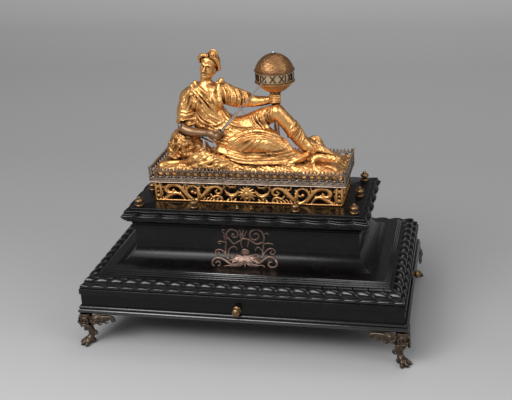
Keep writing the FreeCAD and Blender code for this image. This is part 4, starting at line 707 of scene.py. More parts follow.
FINIAL = ((0.01, 0), (4.6, 0), (4.75, 0.5), (4.6, 1.3), (3.6, 1.9), (2.1, 2.3), (1.9, 3.0), (2.6, 3.4),
          (3.9, 4.2), (4.5, 5.2), (4.4, 6.1), (3.5, 7.0), (2.2, 7.5), (1.7, 7.9), (2.0, 8.4), (1.9, 9.2),
          (1.2, 9.9), (0.01, 10.1))
EDGE_X, EDGE_Y, THIRD_X = 112.3, 46.3, 53.0
PEG = ((0.01, 0), (1.9, 0), (2.0, 0.5), (1.4, 0.9), (1.3, 2.6), (1.0, 3.4), (0.01, 3.6))
PEG_X = 7.4
TURNED_SHARP = 60


def turn_set(name, node, profile, places, segments):
    """The same turned piece at several places on the cap."""
    heap = Heap()
    for x, y in places:
        lathe(heap, profile, (x, y, CAP_TOP), segments=segments)
    dress(heap.make(name, TURNED_SHARP), "case", "bronze", node)


def make_finials():
    places = [(x, y) for x in (-EDGE_X, EDGE_X) for y in (-EDGE_Y, 0, EDGE_Y)]
    places += [(x, y) for x in (-THIRD_X, THIRD_X) for y in (-EDGE_Y, EDGE_Y)]
    turn_set("finial_set", "finials", FINIAL, places, 40)
    turn_set("peg_pair", "cap_pegs", PEG, [(x, -EDGE_Y) for x in (-PEG_X, PEG_X)], 24)


KNOB = ((0.01, -18), (1.9, -18), (1.9, 0.3), (4.2, 0.3), (4.35, 0.8), (4.1, 1.4), (3.0, 1.7), (2.3, 2.2),
        (2.1, 3.0), (2.9, 3.6), (3.9, 4.6), (4.2, 5.8), (3.9, 7.0), (3.1, 7.7), (2.6, 7.8), (2.2, 8.3),
        (1.2, 8.6), (0.01, 8.6))
KNOB_LEVEL = 51.2
KNOB_SEAT = 3.7


def make_knobs():
    for name, node, place, axis in (
            ("front_pull", "front_knob", (0, KNOB_SEAT - HALF_DEPTH, KNOB_LEVEL), (0, -1, 0)),
            ("side_pull", "side_knob", (HALF_LENGTH - KNOB_SEAT, 0, KNOB_LEVEL), (1, 0, 0))):
        heap = Heap()
        lathe(heap, KNOB, place, axis, 40)
        dress(heap.make(name, TURNED_SHARP), node, "bronze", node)


# ornament: strokes of metal that swell, curl and carry leaves

SPIRAL_END = 0.25


def spiral(centre, radius, start, turns):
    """Points of a curl, as (across, up), from its rim inward; angles in degrees, turns may be negative."""
    share = np.linspace(0, 1, max(8, int(abs(turns) * 20)))
    angle = np.radians(start) + 2 * math.pi * turns * share
    size = radius * (1 - (1 - SPIRAL_END) * share)
    return np.stack([centre[0] + size * np.cos(angle), centre[1] + size * np.sin(angle)], axis=1)


class Relief:
    """Strokes drawn as (across, up) and laid on a surface that a place function gives. With hand
    -1 they are drawn as their mirror."""

    def __init__(self, clay, place, bold):
        self.clay = clay
        self.place = place
        self.bold = bold
        self.hand = 1

    def spots(self, line, lift):
        return [self.place(self.hand * a, b, lift) for a, b in line]

    def stroke(self, points, radii, lift=0.0, blend=0.35, steps=6):
        line = smooth_line(points, steps)
        self.clay.chain(self.spots(line, lift), spread(radii, len(line)) * self.bold, blend)

    def engrave(self, points, radius, depth, steps=6):
        """A groove along the crest of a stroke."""
        self.clay.chain(self.spots(smooth_line(points, steps), depth), radius, ENGRAVED_BLEND, sign=-1)

    def bead(self, across, up, radius, lift=0.0):
        self.clay.ball(self.spots([(across, up)], lift)[0], radius, BEAD_BLEND)

    def leaves(self, points, side, length, radius, first, last, count):
        """Pointed lobes along one side of a line, side 1 to its left; they lean forward."""
        line = smooth_line(points, 8)
        for share in np.linspace(first, last, count):
            at = share * (len(line) - 1)
            i = min(int(at), len(line) - 2)
            spot = line[i] + (line[i + 1] - line[i]) * (at - i)
            way = line[i + 1] - line[i]
            way = way / max(np.linalg.norm(way), 1e-6)
            turn = LEAF_LEAN * side
            out = np.array([way[0] * math.cos(turn) - way[1] * math.sin(turn),
                            way[0] * math.sin(turn) + way[1] * math.cos(turn)])
            size = length * (0.65 + 0.35 * math.sin(math.pi * share))
            tip = spot + out * size + way * size * 0.25
            self.stroke([spot, spot + out * size * 0.55, tip], (radius, radius * 0.85, radius * 0.3),
                        0.0, LEAF_BLEND, 3)


BEAD_BLEND, ENGRAVED_BLEND, LEAF_BLEND = 0.3, 0.15, 0.25
LEAF_LEAN = math.radians(55)


# frieze: half a panel, from its middle outward, as (across, height above the cap)

def draw_rosette(relief, across, up, size):
    relief.bead(across, up, size * 0.42, 0.5)
    for turn in np.linspace(0, 2 * math.pi, 6, endpoint=False):
        side = relief.hand * size * 0.66 * math.cos(turn)
        relief.bead(across + side, up + size * 0.66 * math.sin(turn), size * 0.36, 0.1)


def draw_cartouche(relief):
    """A palmette over a bud, with a running scroll, buds and an arch at its side."""
    middle = (0.0, 9.6)
    for tip in ((0.0, 18.6), (3.4, 17.9), (6.6, 15.6), (8.6, 12.2), (8.9, 8.2), (6.9, 4.6)):
        way = np.array(tip) - middle
        bend = np.array(middle) + way * 0.55 + np.array([-way[1], way[0]]) * 0.06
        relief.stroke([middle, bend, tip], (1.0, 1.25, 0.55), 0.2)
        relief.bead(*tip, 0.85, 0.35)
    relief.stroke([(0, 9), (2.6, 5.2), (1.6, 2.0), (0, 0.6)], (1.1, 1.1, 0.7), 0.2)
    relief.bead(0, 10.2, 2.5, 0.4)
    relief.bead(0, 5.4, 1.3, 0.5)
    relief.stroke([(8.6, 12.0), (12.4, 8.6), (17.0, 7.6), (21.6, 10.6), (23.4, 14.0)],
                  (0.7, 1.0, 1.1, 0.9, 0.5))
    relief.stroke([(9.2, 13.8), (12.6, 10.2), (17.0, 9.4), (20.6, 11.8)], (0.4, 0.55, 0.55, 0.3), 0.3)
    for across, up, size in ((12.4, 3.0, 1.1), (16.4, 4.4, 1.0), (20.2, 2.4, 1.15), (14.6, 1.6, 0.8)):
        relief.stroke([(across, 0.4), (across + 0.5, up), (across - 0.6, up + 1.6)],
                      (size, size * 0.9, size * 0.45), 0.1)
    arch = [(10.6, 20.4), (14.0, 17.6), (18.6, 18.2), (21.6, 20.4)]
    relief.stroke(arch, (0.7, 1.0, 0.9, 0.6))
    relief.leaves(arch, -1, 3.0, 0.8, 0.2, 0.8, 3)
    relief.leaves([(9.6, 10.6), (13.0, 8.4), (17.0, 7.6), (21.0, 10.0)], -1, 3.4, 0.8, 0.15, 0.9, 4)


def draw_leaf_scroll(relief):
    """The large S leaf that rises toward the middle and curls over."""
    line = [(55.0, 1.4), (50.0, 4.2), (45.6, 8.0), (41.6, 12.4), (37.0, 16.6), (31.4, 17.6), (27.2, 14.6),
            (27.6, 10.8), (31.2, 9.8), (33.4, 12.2), (31.6, 13.8)]
    relief.stroke(line, (1.2, 1.5, 1.6, 1.5, 1.2, 0.9, 0.8), 0.1)
    relief.stroke([(a + 1.5, b + 1.0) for a, b in line[:6]], (0.4, 0.6, 0.6, 0.35), 0.65)
    relief.leaves(line[1:7], -1, 4.2, 0.85, 0.1, 0.92, 8)
    relief.leaves(line[:5], 1, 3.6, 0.75, 0.15, 0.9, 5)
    relief.leaves([(48.0, 1.6), (42.0, 2.0), (36.0, 1.4)], -1, 4.4, 0.9, 0.1, 0.95, 4)
    relief.stroke([(39.0, 8.8), (36.0, 5.6), (32.0, 7.4), (28.4, 6.2), (26.8, 3.2), (29.6, 1.4), (32.2, 3.0),
                   (30.8, 4.6)], (0.8, 1.0, 1.0, 1.0, 0.9, 0.7))
    relief.leaves([(38.0, 7.0), (33.0, 7.0), (28.0, 5.6), (26.0, 2.6)], 1, 2.2, 0.6, 0.2, 0.85, 3)
    relief.stroke([(25.0, 20.4), (23.6, 17.4), (25.4, 14.4)], (0.8, 0.9, 0.5))


def draw_ring_scroll(relief):
    """The round curl with a bud at its inner side."""
    line = [(53.0, 0.8), (58.6, 3.0), (63.0, 7.0), (64.4, 12.0), (61.6, 16.6), (57.0, 17.8), (53.2, 15.4),
            (52.6, 11.4), (55.4, 9.2), (58.0, 10.6)]
    relief.stroke(line, (1.5, 1.3, 1.15, 1.05, 1.0, 0.9, 0.9))
    relief.leaves(line[1:6], -1, 3.2, 0.7, 0.1, 0.85, 6)
    relief.leaves(line[4:9], -1, 2.4, 0.6, 0.1, 0.8, 3)
    relief.bead(58.2, 10.8, 1.9, 0.3)
    relief.bead(51.2, 8.0, 2.0, 0.4)
    relief.bead(51.0, 12.2, 1.5, 0.4)
    relief.stroke([(51.2, 3.0), (51.0, 8.0), (51.8, 13.0), (50.4, 16.2)], (1.5, 1.7, 1.1, 0.5), 0.2)
    relief.stroke([(46.4, 20.4), (45.6, 16.8), (43.0, 15.8), (41.4, 18.0)], (0.8, 0.9, 0.8, 0.5))
    relief.stroke([(66.0, 20.4), (67.6, 15.0), (66.4, 9.6)], (0.7, 0.9, 0.5))


def draw_outer_leaf(relief):
    """The leaf that rises toward the end and curls under, with a lower one beside it."""
    line = [(59.0, 1.0), (63.6, 5.4), (67.4, 10.4), (71.6, 15.6), (77.2, 18.6), (83.6, 17.6), (86.8, 13.2),
            (84.6, 9.4), (80.0, 9.8), (78.6, 12.6)]
    relief.stroke(line, (1.2, 1.3, 1.2, 1.2, 1.5, 1.7, 1.4, 1.0), 0.1)
    relief.stroke([(a - 1.4, b + 1.2) for a, b in line[:5]], (0.5, 0.6, 0.6, 0.3), 0.6)
    relief.leaves(line[3:8], -1, 4.0, 0.95, 0.1, 0.95, 8)
    relief.leaves(line[4:9], 1, 2.6, 0.7, 0.1, 0.9, 5)
    relief.leaves(line[:4], 1, 3.0, 0.7, 0.2, 0.9, 4)
    low = [(67.0, 2.4), (71.0, 7.6), (76.6, 9.0), (82.0, 6.6), (86.0, 3.6), (90.0, 1.2)]
    relief.stroke(low, (0.9, 1.2, 1.4, 1.5, 1.3, 0.9), 0.1)
    relief.leaves(low, 1, 3.4, 0.8, 0.2, 0.95, 6)
    relief.leaves(low, -1, 3.0, 0.8, 0.2, 0.9, 5)


def draw_post(relief, across):
    """The end of a panel: a stem, two rosettes and a row of beads."""
    relief.stroke([(across - 4.6, 0), (across - 5.6, 10.5), (across - 4.4, 21)], (1.1, 1.3, 1.1))
    draw_rosette(relief, across - 2.6, 15.6, 2.5)
    draw_rosette(relief, across - 2.8, 5.6, 2.4)
    relief.bead(across - 2.6, 10.6, 1.4, 0.2)
    for up in np.linspace(1.2, 19.8, 9):
        relief.bead(across - 7.0 + 0.6 * math.cos(up), up, 0.9, 0.1)


FRIEZE_LOW, FRIEZE_RISE = CAP_TOP, 21.0
FRIEZE_HALF, FRIEZE_END = 98.0, 31.5
PANEL_DEEP = 0.9
RELIEF_STEP, QUICK_RELIEF = 0.34, 0.6
FRIEZE_BOLD = 1.28


def carve_panel(half, marks):
    """A pierced panel that faces -Y and stands at y = 0."""
    step = RELIEF_STEP
    clay = Clay((-half - 1.5, -3.2, -0.8), (half + 1.5, 1.8, FRIEZE_RISE + 0.8), step)
    relief = Relief(clay, lambda across, up, lift: (across, -PANEL_DEEP - lift, up), FRIEZE_BOLD)
    for hand in (1, -1):
        relief.hand = hand
        for mark in marks:
            mark(relief)
        draw_post(relief, half)
        clay.slab((hand * half - 1.1, -PANEL_DEEP - 0.9, 0), (hand * half + 1.1, 0.0, FRIEZE_RISE), 0.3, 0.2)
    clay.slab((-half, -PANEL_DEEP - 1.9, 0), (half, 0.0, 2.2), 0.5, 0.4)
    clay.slab((-half, -PANEL_DEEP - 0.7, FRIEZE_RISE - 0.9), (half, 0.0, FRIEZE_RISE), 0.3, 0.3)
    clay.keep_within(clay.along(1))
    return clay.skin()


def turned(points, degrees):
    angle = math.radians(degrees)
    cos, sin = math.cos(angle), math.sin(angle)
    turn = np.array([[cos, -sin, 0], [sin, cos, 0], [0, 0, 1]])
    return np.asarray(points) @ turn.T


FRIEZE_MARKS = (draw_cartouche, draw_leaf_scroll, draw_ring_scroll, draw_outer_leaf)


def make_frieze():
    points, faces = carve_panel(FRIEZE_HALF, FRIEZE_MARKS)
    for name, node, degrees in (("frieze_scrolls_front", "frieze_front", 0),
                                ("frieze_scrolls_back", "frieze_back", 180)):
        placed = turned(points + (0, -FRIEZE_END + PANEL_DEEP * 2, FRIEZE_LOW), degrees)
        dress(make_object(name, placed, faces.tolist()), "case", "gilt", node)
    points, faces = carve_panel(FRIEZE_END - 2.2, (draw_cartouche,))
    heap = Heap()
    for degrees in (90, 270):
        heap.add(turned(points + (0, -FRIEZE_HALF + PANEL_DEEP * 2, FRIEZE_LOW), degrees), faces.tolist())
    dress(heap.make("frieze_scrolls_ends"), "case", "gilt", "frieze_ends")


# lock plate: lines drawn over the picture, laid on the cove

PLATE_LINES = [
    # radii in millimetres, then the lines of pixels that have them
    ((0.9, 1.2, 0.9, 0.75), [
        [(243.8, 262.8), (237.6, 264.3), (231.5, 264.3), (226.9, 261.3), (221.8, 258.5), (216.7, 258.0),
         (213.2, 260.5), (212.9, 264.6), (215.7, 266.9), (219.3, 265.6), (220.3, 262.8), (217.8, 261.3),
         (216.0, 262.8)],
        [(247.3, 262.8), (254.0, 264.9), (260.1, 262.8), (264.2, 259.8), (268.8, 257.2), (273.9, 258.2),
         (276.9, 262.3), (275.9, 266.4), (271.8, 267.4), (268.8, 265.4), (269.3, 262.3), (271.8, 262.3)]]),
    ((1.0, 0.8, 0.5), [
        [(244.8, 262.3), (239.7, 265.4), (233.6, 265.9), (228.0, 265.6), (222.3, 266.9)],
        [(245.8, 262.3), (250.9, 265.4), (257.0, 265.9), (262.1, 265.4), (264.7, 266.9)]]),
    ((0.8, 0.75, 0.65), [
        [(229.0, 258.7), (226.4, 255.2), (224.4, 252.1), (221.8, 250.1), (218.3, 249.6), (215.7, 251.1),
         (216.0, 253.6), (218.5, 254.7), (219.8, 253.1), (218.4, 252.1)],
        [(262.1, 257.7), (264.2, 253.6), (267.2, 250.1), (271.3, 248.5), (274.9, 250.6), (274.9, 253.1),
         (272.3, 254.7), (270.3, 253.1), (271.8, 251.6)]]),
    ((0.7, 0.8, 0.7), [
        [(225.9, 252.6), (225.7, 246.5), (226.4, 242.4), (224.9, 238.8), (224.1, 235.3)],
        [(262.7, 252.6), (263.5, 246.5), (263.7, 242.4), (264.2, 237.3)]]),
    ((0.9, 0.85, 0.7, 0.6), [
        [(226.9, 238.8), (226.4, 235.3), (227.5, 231.7), (230.5, 229.4), (234.1, 229.6), (237.1, 231.7),
         (238.2, 234.2), (236.6, 236.8), (234.1, 237.3), (232.0, 235.8), (232.8, 234.0), (234.3, 234.7)],
        [(263.7, 241.4), (264.2, 237.3), (262.1, 232.2), (258.1, 229.4), (253.5, 229.6), (250.4, 232.2),
         (249.9, 235.8), (251.9, 238.8), (255.5, 239.9), (258.6, 237.8), (258.3, 234.8), (256.0, 233.2),
         (254.0, 234.7)]]),
    ((0.6, 0.5), [
        [(225.0, 234.0), (222.9, 232.2), (222.3, 230.2), (224.4, 229.6)],
        [(264.4, 234.5), (266.4, 233.2), (268.8, 234.4)]]),
    ((0.6, 0.7, 0.4), [
        [(225.4, 242.4), (222.3, 241.4), (218.8, 241.6), (218.5, 243.2), (220.8, 243.7)],
        [(263.7, 243.9), (267.7, 243.4), (272.3, 243.9), (273.1, 245.5)]]),
    ((0.8, 0.9, 0.8), [
        [(228.0, 237.8), (231.5, 241.4), (234.1, 243.7), (237.6, 241.9), (241.7, 239.9)],
        [(248.9, 239.3), (253.0, 241.9), (256.5, 243.9), (260.1, 243.4), (263.7, 241.9)]]),
    ((0.8, 0.6), [
        [(241.2, 239.9), (241.0, 243.4), (242.4, 247.5)],
        [(248.9, 239.9), (248.4, 243.4), (247.3, 247.0)]]),
    ((0.7, 0.8, 0.7), [[(241.2, 239.6), (245.0, 238.6), (248.9, 239.7)]]),
    ((0.7, 0.8, 0.4), [
        [(242.0, 239.0), (240.2, 235.8), (240.7, 233.4), (242.8, 235.0), (242.4, 238.3)]]),
    ((0.6, 0.6, 0.3), [
        [(243.0, 237.3), (245.3, 234.2), (246.3, 231.2)],
        [(241.7, 235.3), (240.0, 231.2), (239.4, 229.6)],
        [(242.8, 234.8), (243.0, 231.4), (242.6, 229.4)]]),
    ((0.7, 0.6, 0.6), [
        [(229.0, 255.7), (228.5, 251.6), (230.0, 248.5), (233.1, 246.5), (236.1, 247.5), (237.1, 250.1)],
        [(262.7, 253.6), (262.1, 250.6), (259.1, 247.5), (256.5, 248.0), (255.5, 250.6)]]),
    ((0.7, 0.6), [
        [(233.6, 255.2), (235.6, 254.7), (237.6, 255.7), (236.1, 257.2), (233.6, 256.7), (232.9, 255.4)],
        [(258.1, 258.7), (258.6, 256.2), (257.0, 254.7), (255.0, 255.7)]]),
    ((1.6, 1.5, 1.0), [
        [(240.7, 257.2), (236.6, 259.8), (232.6, 261.3)],
        [(249.9, 257.2), (254.0, 260.3), (258.1, 261.8)]]),
    ((1.8, 1.6, 0.9), [[(245.3, 257.2), (245.0, 262.0), (245.0, 264.0)]]),
    ((1.1, 0.8, 0.25), [[(245.0, 262.0), (245.0, 267.2)]]),
]
PLATE_DISC = (245.3, 253.2)
PLATE_DISC_RADII = (5.2, 2.0, 5.2)
# how far it stands out from the cove, and how steep its face may be cut
PLATE_FLAT, PLATE_SLOPE = 2.0, 0.8
PLATE_BOLD, PLATE_BLEND, PLATE_STEP = 1.3, 0.15, 0.3
# strokes at least this wide have a groove along their crest
PLATE_ENGRAVED, GROOVE_RADIUS, CREST = 0.7, 0.34, 0.05
PLATE_LEAF_FOOT = (245.0, 260.6)
PLATE_LEAF_TIPS = ((6.0, 255.6), (10.5, 254.8), (13.6, 257.4), (15.4, 260.2), (13.0, 263.0), (8.6, 264.8),
                   (4.6, 265.4))
PLATE_LOW, PLATE_HIGH = (-40, -64, 79), (39, -50, 119)
SEARCHES = 14


def cove_y(z):
    """The depth of the cove's face at a height."""
    drop = np.clip(STEP_TOP + COVE_INSET - COVE_FOOT - z, 0, COVE_INSET - COVE_FOOT)
    return COVE_FOOT + np.sqrt((COVE_INSET - COVE_FOOT) ** 2 - drop ** 2) - HALF_DEPTH


def on_cove(u, v):
    """The point of the cove behind a pixel."""
    y = COVE_INSET - HALF_DEPTH
    for _ in range(SEARCHES):
        y = 0.5 * (y + float(cove_y(seen(u, v, y)[2])))
    return seen(u, v, y)


def make_lock_plate():
    clay = Clay(PLATE_LOW, PLATE_HIGH, PLATE_STEP)
    relief = Relief(clay, lambda u, v, lift: on_cove(u, v) - (0, lift, 0), PLATE_BOLD)
    strokes = [(radii, line) for radii, lines in PLATE_LINES for line in lines]
    for radii, line in strokes:
        relief.stroke(line, radii, 0.0, PLATE_BLEND)
    for side in (-1, 1):
        for across, down in PLATE_LEAF_TIPS:
            foot, tip = np.array(PLATE_LEAF_FOOT), np.array([PLATE_DISC[0] + side * across, down])
            leaf = [foot, (foot + tip) / 2 + (0, -1.4), tip]
            relief.stroke(leaf, (0.9, 1.35, 0.7), 0.25, 0.1, 4)
            relief.engrave(leaf, 0.3, 1.55, 4)
    clay.ball(on_cove(*PLATE_DISC), PLATE_DISC_RADII, 0.3)
    for radii, line in strokes:
        if max(radii) >= PLATE_ENGRAVED:
            relief.engrave(line, GROOVE_RADIUS, max(radii) * PLATE_BOLD + CREST)
    clay.keep_within((cove_y(clay.along(2)) - PLATE_FLAT - clay.along(1)) * PLATE_SLOPE)
    dress(clay.make("lock_scrolls"), "case", "old_silver", "lock_plate")


# gallery: a strip with a running scroll, an arcade of rings, and a crest of beads

GALLERY_OUT, GALLERY_LOW, GALLERY_TOP = 4.6, 162.0, 174.0
GALLERY_PITCH = 7.5
STRIP_HEIGHT, STRIP_THICK = 3.4, 0.7
SCROLL_LEVEL, SCROLL_RISE = 163.9, 0.7
RING_LEVEL, RING_RADIUS, RING_TUBE, RING_GAP = 169.9, 3.2, 0.42, 2.7
CREST_BEADS = ((175.4, 1.15), (176.8, 0.55))
RAILS = ((GALLERY_LOW + 0.5, 0.55), (GALLERY_LOW + STRIP_HEIGHT, 0.5), (GALLERY_TOP, 0.42))
DECK_TOP = 162.0
DECK_EDGE = ((-2.8, 159.4), (-2.4, 160.3), (0.1, 160.5), (0.5, 161.0), (0.2, 161.5), (0.1, DECK_TOP))
LONG_HALF, SHORT_HALF = FRIEZE_HALF + GALLERY_OUT, FRIEZE_END + GALLERY_OUT
CORNER_POST = (162.0, 166.0, 170.0, 176.0)
CORNER_IN, CORNER_RADIUS = 0.8, 1.05


def make_ring(heap, centre, radius, tube, way, around=18, sides=7):
    """A ring that faces along a level direction."""
    way = np.asarray(way, float)
    side = np.array([-way[1], way[0], 0.0])
    big = np.linspace(0, 2 * math.pi, around, endpoint=False)[:, None, None]
    small = np.linspace(0, 2 * math.pi, sides, endpoint=False)[None, :, None]
    out = np.cos(big) * side + np.sin(big) * np.array([0, 0, 1.0])
    points = np.asarray(centre) + out * (radius + tube * np.cos(small)) + way * tube * np.sin(small)
    heap.add(points.reshape(-1, 3), rows_of_quads(around, sides, close_rows=True, close_columns=True))


def make_bead(heap, centre, radius):
    angles = np.linspace(-math.pi / 2, math.pi / 2, 7)
    profile = [(max(radius * math.cos(a), 0.01), radius * math.sin(a)) for a in angles]
    lathe(heap, profile, centre, segments=10)


def make_tube(heap, line, radii, sides=8):
    """A round tube through points, in millimetres."""
    line = np.asarray(line, float)
    radii = np.broadcast_to(np.asarray(radii, float), len(line))
    way = np.gradient(line, axis=0)
    way /= np.linalg.norm(way, axis=1)[:, None]
    side = np.cross(way[0], (0, 0, 1) if abs(way[0][2]) < 0.9 else (1, 0, 0))
    turn = np.linspace(0, 2 * math.pi, sides, endpoint=False)
    points = []
    for spot, direction, radius in zip(line, way, radii):
        side = side - direction * (side @ direction)
        side /= np.linalg.norm(side)
        other = np.cross(direction, side)
        points += [spot + radius * (math.cos(a) * side + math.sin(a) * other) for a in turn]
    count = len(line)
    faces = rows_of_quads(count, sides, close_columns=True)
    faces += [tuple(range(sides)), tuple(range(count * sides - 1, (count - 1) * sides - 1, -1))]
    heap.add(points, faces)


def make_gallery_side(heap, half, out, way):
    """One side of a length of two halves, at a distance out, that faces along a level direction."""
    way = np.asarray(way, float)
    side = np.array([-way[1], way[0], 0.0])

    def spot(along, z, lift):
        return side * along + way * (out - 0.9 + lift) + np.array([0, 0, z])

    top = GALLERY_LOW + STRIP_HEIGHT
    corners = ((0.4, GALLERY_LOW), (0.4, top), (0.4 - STRIP_THICK, top), (0.4 - STRIP_THICK, GALLERY_LOW))
    strip = [spot(along, z, lift) for along in (-half, half) for lift, z in corners]
    heap.add(strip, [(0, 1, 2, 3), (7, 6, 5, 4), (0, 4, 5, 1), (1, 5, 6, 2), (2, 6, 7, 3), (3, 7, 4, 0)])
    for z, radius in RAILS:
        make_tube(heap, [spot(along, z, 0.3) for along in (-half, 0, half)], radius)
    count = max(2, round(2 * half / GALLERY_PITCH))
    pitch = 2 * half / count
    scroll = [spot(a, SCROLL_LEVEL + SCROLL_RISE * math.sin(2 * math.pi * (a + half) / pitch), 0.45)
              for a in np.linspace(-half, half, count * 8 + 1)]
    make_tube(heap, scroll, 0.28, 6)
    for i in range(count):
        middle = -half + pitch * (i + 0.5)
        for quarter, lean in ((-0.25, 1), (0.25, -1)):
            at = middle + quarter * pitch
            curl = [spot(at + across * lean, SCROLL_LEVEL + up * lean, lift)
                    for across, up, lift in ((0.0, 0.0, 0.45), (0.6, 0.6, 0.5), (0.2, 1.0, 0.4))]
            make_tube(heap, curl, (0.3, 0.4, 0.15), 6)
        make_ring(heap, spot(middle, RING_LEVEL, 0.2), RING_RADIUS, RING_TUBE, way)
        for up in (-RING_GAP, RING_GAP):
            make_bead(heap, spot(middle - pitch / 2, RING_LEVEL + up, 0.3), 1.0)
        for quarter in (-0.25, 0.25):
            for z, radius in CREST_BEADS:
                make_bead(heap, spot(middle + pitch * quarter, z, 0.3), radius)


def make_gallery():
    for name, node, facing in (("gallery_lace_front", "gallery_front", -1),
                               ("gallery_lace_back", "gallery_back", 1)):
        heap = Heap()
        make_gallery_side(heap, LONG_HALF - 0.6, SHORT_HALF, (0, facing, 0))
        dress(heap.make(name, 40), "case", "silver", node)
    heap = Heap()
    for facing in (1, -1):
        make_gallery_side(heap, SHORT_HALF - CORNER_IN, LONG_HALF, (facing, 0, 0))
    for x in (CORNER_IN - LONG_HALF, LONG_HALF - CORNER_IN):
        for y in (CORNER_IN - SHORT_HALF, SHORT_HALF - CORNER_IN):
            make_tube(heap, [(x, y, z) for z in CORNER_POST], CORNER_RADIUS)
            make_bead(heap, (x, y, 177.0), 1.5)
    dress(heap.make("gallery_lace_ends", 40), "case", "silver", "gallery_ends")


def make_deck():
    """The silver plate under the gallery, with a moulded edge."""
    heap = Heap()
    points = [(x * (LONG_HALF + out), y * (SHORT_HALF + out), z) for out, z in DECK_EDGE
              for x, y in ((-1, -1), (1, -1), (1, 1), (-1, 1))]
    faces = rows_of_quads(len(DECK_EDGE), 4, close_columns=True)
    faces += [(3, 2, 1, 0), tuple(range(len(points) - 4, len(points)))]
    heap.add(points, faces)
    piece = heap.make("deck_edge", SHARP)
    weld(piece)
    dress(piece, "case", "silver", "deck_plate")


# claw feet: one is modelled at the front left corner and mirrored to the others

FOOT_LOW, FOOT_HIGH = (-8, -8, -0.5), (44, 44, 38.5)
FOOT_STEP, QUICK_FOOT_STEP = 0.4, 0.7
WING_LINES = [
    # radii, then the points along an edge and up
    ((2.0, 2.6, 2.4, 1.8, 1.2, 0.7),
     [(6, 25), (13, 31), (21, 33.5), (29, 34.5), (36, 34), (38, 31), (35.6, 29.4), (34.6, 31.2)]),
    ((1.6, 1.9, 1.6, 1.1, 0.7), [(8, 24), (14, 26), (19, 28.5), (24, 28), (27, 30.5), (25.4, 33)]),
    ((1.3, 1.4, 1.0, 0.6), [(10, 29.5), (14, 34), (19, 36), (25, 36.4)]),
    ((1.2, 1.3, 0.9, 0.5), [(15, 28), (21, 30.5), (27, 32), (32, 35.8)]),
    ((1.0, 1.0, 0.6), [(22, 28.6), (28, 29.6), (33, 32)]),
    ((1.2, 0.8, 0.4), [(18, 27.4), (21.5, 24.6), (24.4, 25.6)]),
    ((1.0, 0.8, 0.4), [(25.6, 28.6), (29, 27.0), (31.2, 28.6)]),
]
# down the leg, (x and y from the corner, height), and its radii
LEG_LINE = [(a, a, z) for a, z in
            ((6.0, 35), (5.0, 29), (6.0, 22), (8.4, 16.5), (8.8, 11), (7.0, 6.0), (5.0, 3.6))]
LEG_RADII = (6.6, 5.6, 4.6, 3.3, 3.0, 3.9, 3.4)
# curls on the knee, then along the wing: centre along the edge and height, radius, turns
CURLS = (((5.6, 29.8), 5.0, 1.6), ((9.4, 21.4), 3.6, -1.5), ((16.5, 31.0), 3.7, 1.4),
         ((24.2, 32.4), 3.0, -1.3), ((30.8, 33.6), 2.3, 1.2))
# the way out at the corner, and the order of coordinates along each of its edges
CORNER_TURN = math.pi * 1.25
EDGES = ([0, 1, 2], [1, 0, 2])


def foot_way(turn):
    return np.array([math.cos(CORNER_TURN + turn), math.sin(CORNER_TURN + turn), 0.0])


def sculpt_foot():
    clay = Clay(FOOT_LOW, FOOT_HIGH, FOOT_STEP)
    line = smooth_line(LEG_LINE, 5)
    clay.chain(line, spread(LEG_RADII, len(line)), 2.0)
    for radii, points in WING_LINES:
        for order in EDGES:
            path = smooth_line([(a, 2.6, z) for a, z in points], 5)
            clay.chain(path[:, order], spread(radii, len(path)), 0.7)
    for order in EDGES:
        for centre, radius, turns in CURLS:
            path = np.array([(a, -1.4 + 0.10 * a, z) for a, z in spiral(centre, radius, 200, turns)])
            path = path[:, order]
            clay.chain(path, np.linspace(1.35, 0.75, len(path)), 0.4)
            clay.ball(path[-1], 1.3, 0.3)
    # ribs that run down the shin
    for turn in (-0.55, -0.2, 0.2, 0.55):
        path = [np.array(spot) + foot_way(turn) * (radius - 0.3)
                for spot, radius in zip(LEG_LINE[1:5], LEG_RADII[1:5])]
        clay.chain(smooth_line(path, 5), 0.9, 0.4)
    # paw: three toes with claws, a pad behind, and a curl above the heel
    for turn in (-0.75, 0.0, 0.75):
        way = foot_way(turn)
        knuckle = np.array([6.0, 6.0, 5.0]) + way * 2.8
        tip = np.array([6.0, 6.0, 2.5]) + way * 6.2
        clay.chain([np.array([6.4, 6.4, 6.2]), knuckle, tip], (3.0, 2.7, 2.1), 0.7)
        clay.ball(tip + way * 0.8 + (0, 0, -0.2), 2.3, 0.5)
        clay.chain([tip + way * 2.0, tip + way * 3.6 + (0, 0, -1.6)], (1.1, 0.4), 0.3)
    clay.ball((8.4, 8.4, 2.8), (4.0, 4.0, 2.8), 1.0)
    for order in EDGES:
        path = np.array([(a, 7.6, z) for a, z in spiral((13.0, 12.2), 3.0, 190, -1.3)])[:, order]
        clay.chain(path, np.linspace(1.3, 0.7, len(path)), 0.5)
    clay.keep_above(0.0)
    clay.keep_within(clay.along(2).astype(np.float32) - BOARD_LOW)
    return clay.skin()


def make_feet():
    points, faces = sculpt_foot()
    heap = Heap()
    for x in (-1, 1):
        for y in (-1, 1):
            placed = (points - (HALF_LENGTH, HALF_DEPTH, 0)) * (-x, -y, 1)
            heap.add(placed, faces.tolist() if x * y > 0 else faces[:, ::-1].tolist())
    dress(heap.make("lion_feet"), "case", "dark_bronze", "claw_feet")


# figure: masses first, then folds along lines of the picture

def body(clay, pixels, radii, blend, steps=3):
    """A limb or a mass through pixels that lie at given depths, (u, v, y)."""
    spots = smooth_line([seen(*p) for p in pixels], steps)
    clay.chain(spots, spread(radii, len(spots)), blend)


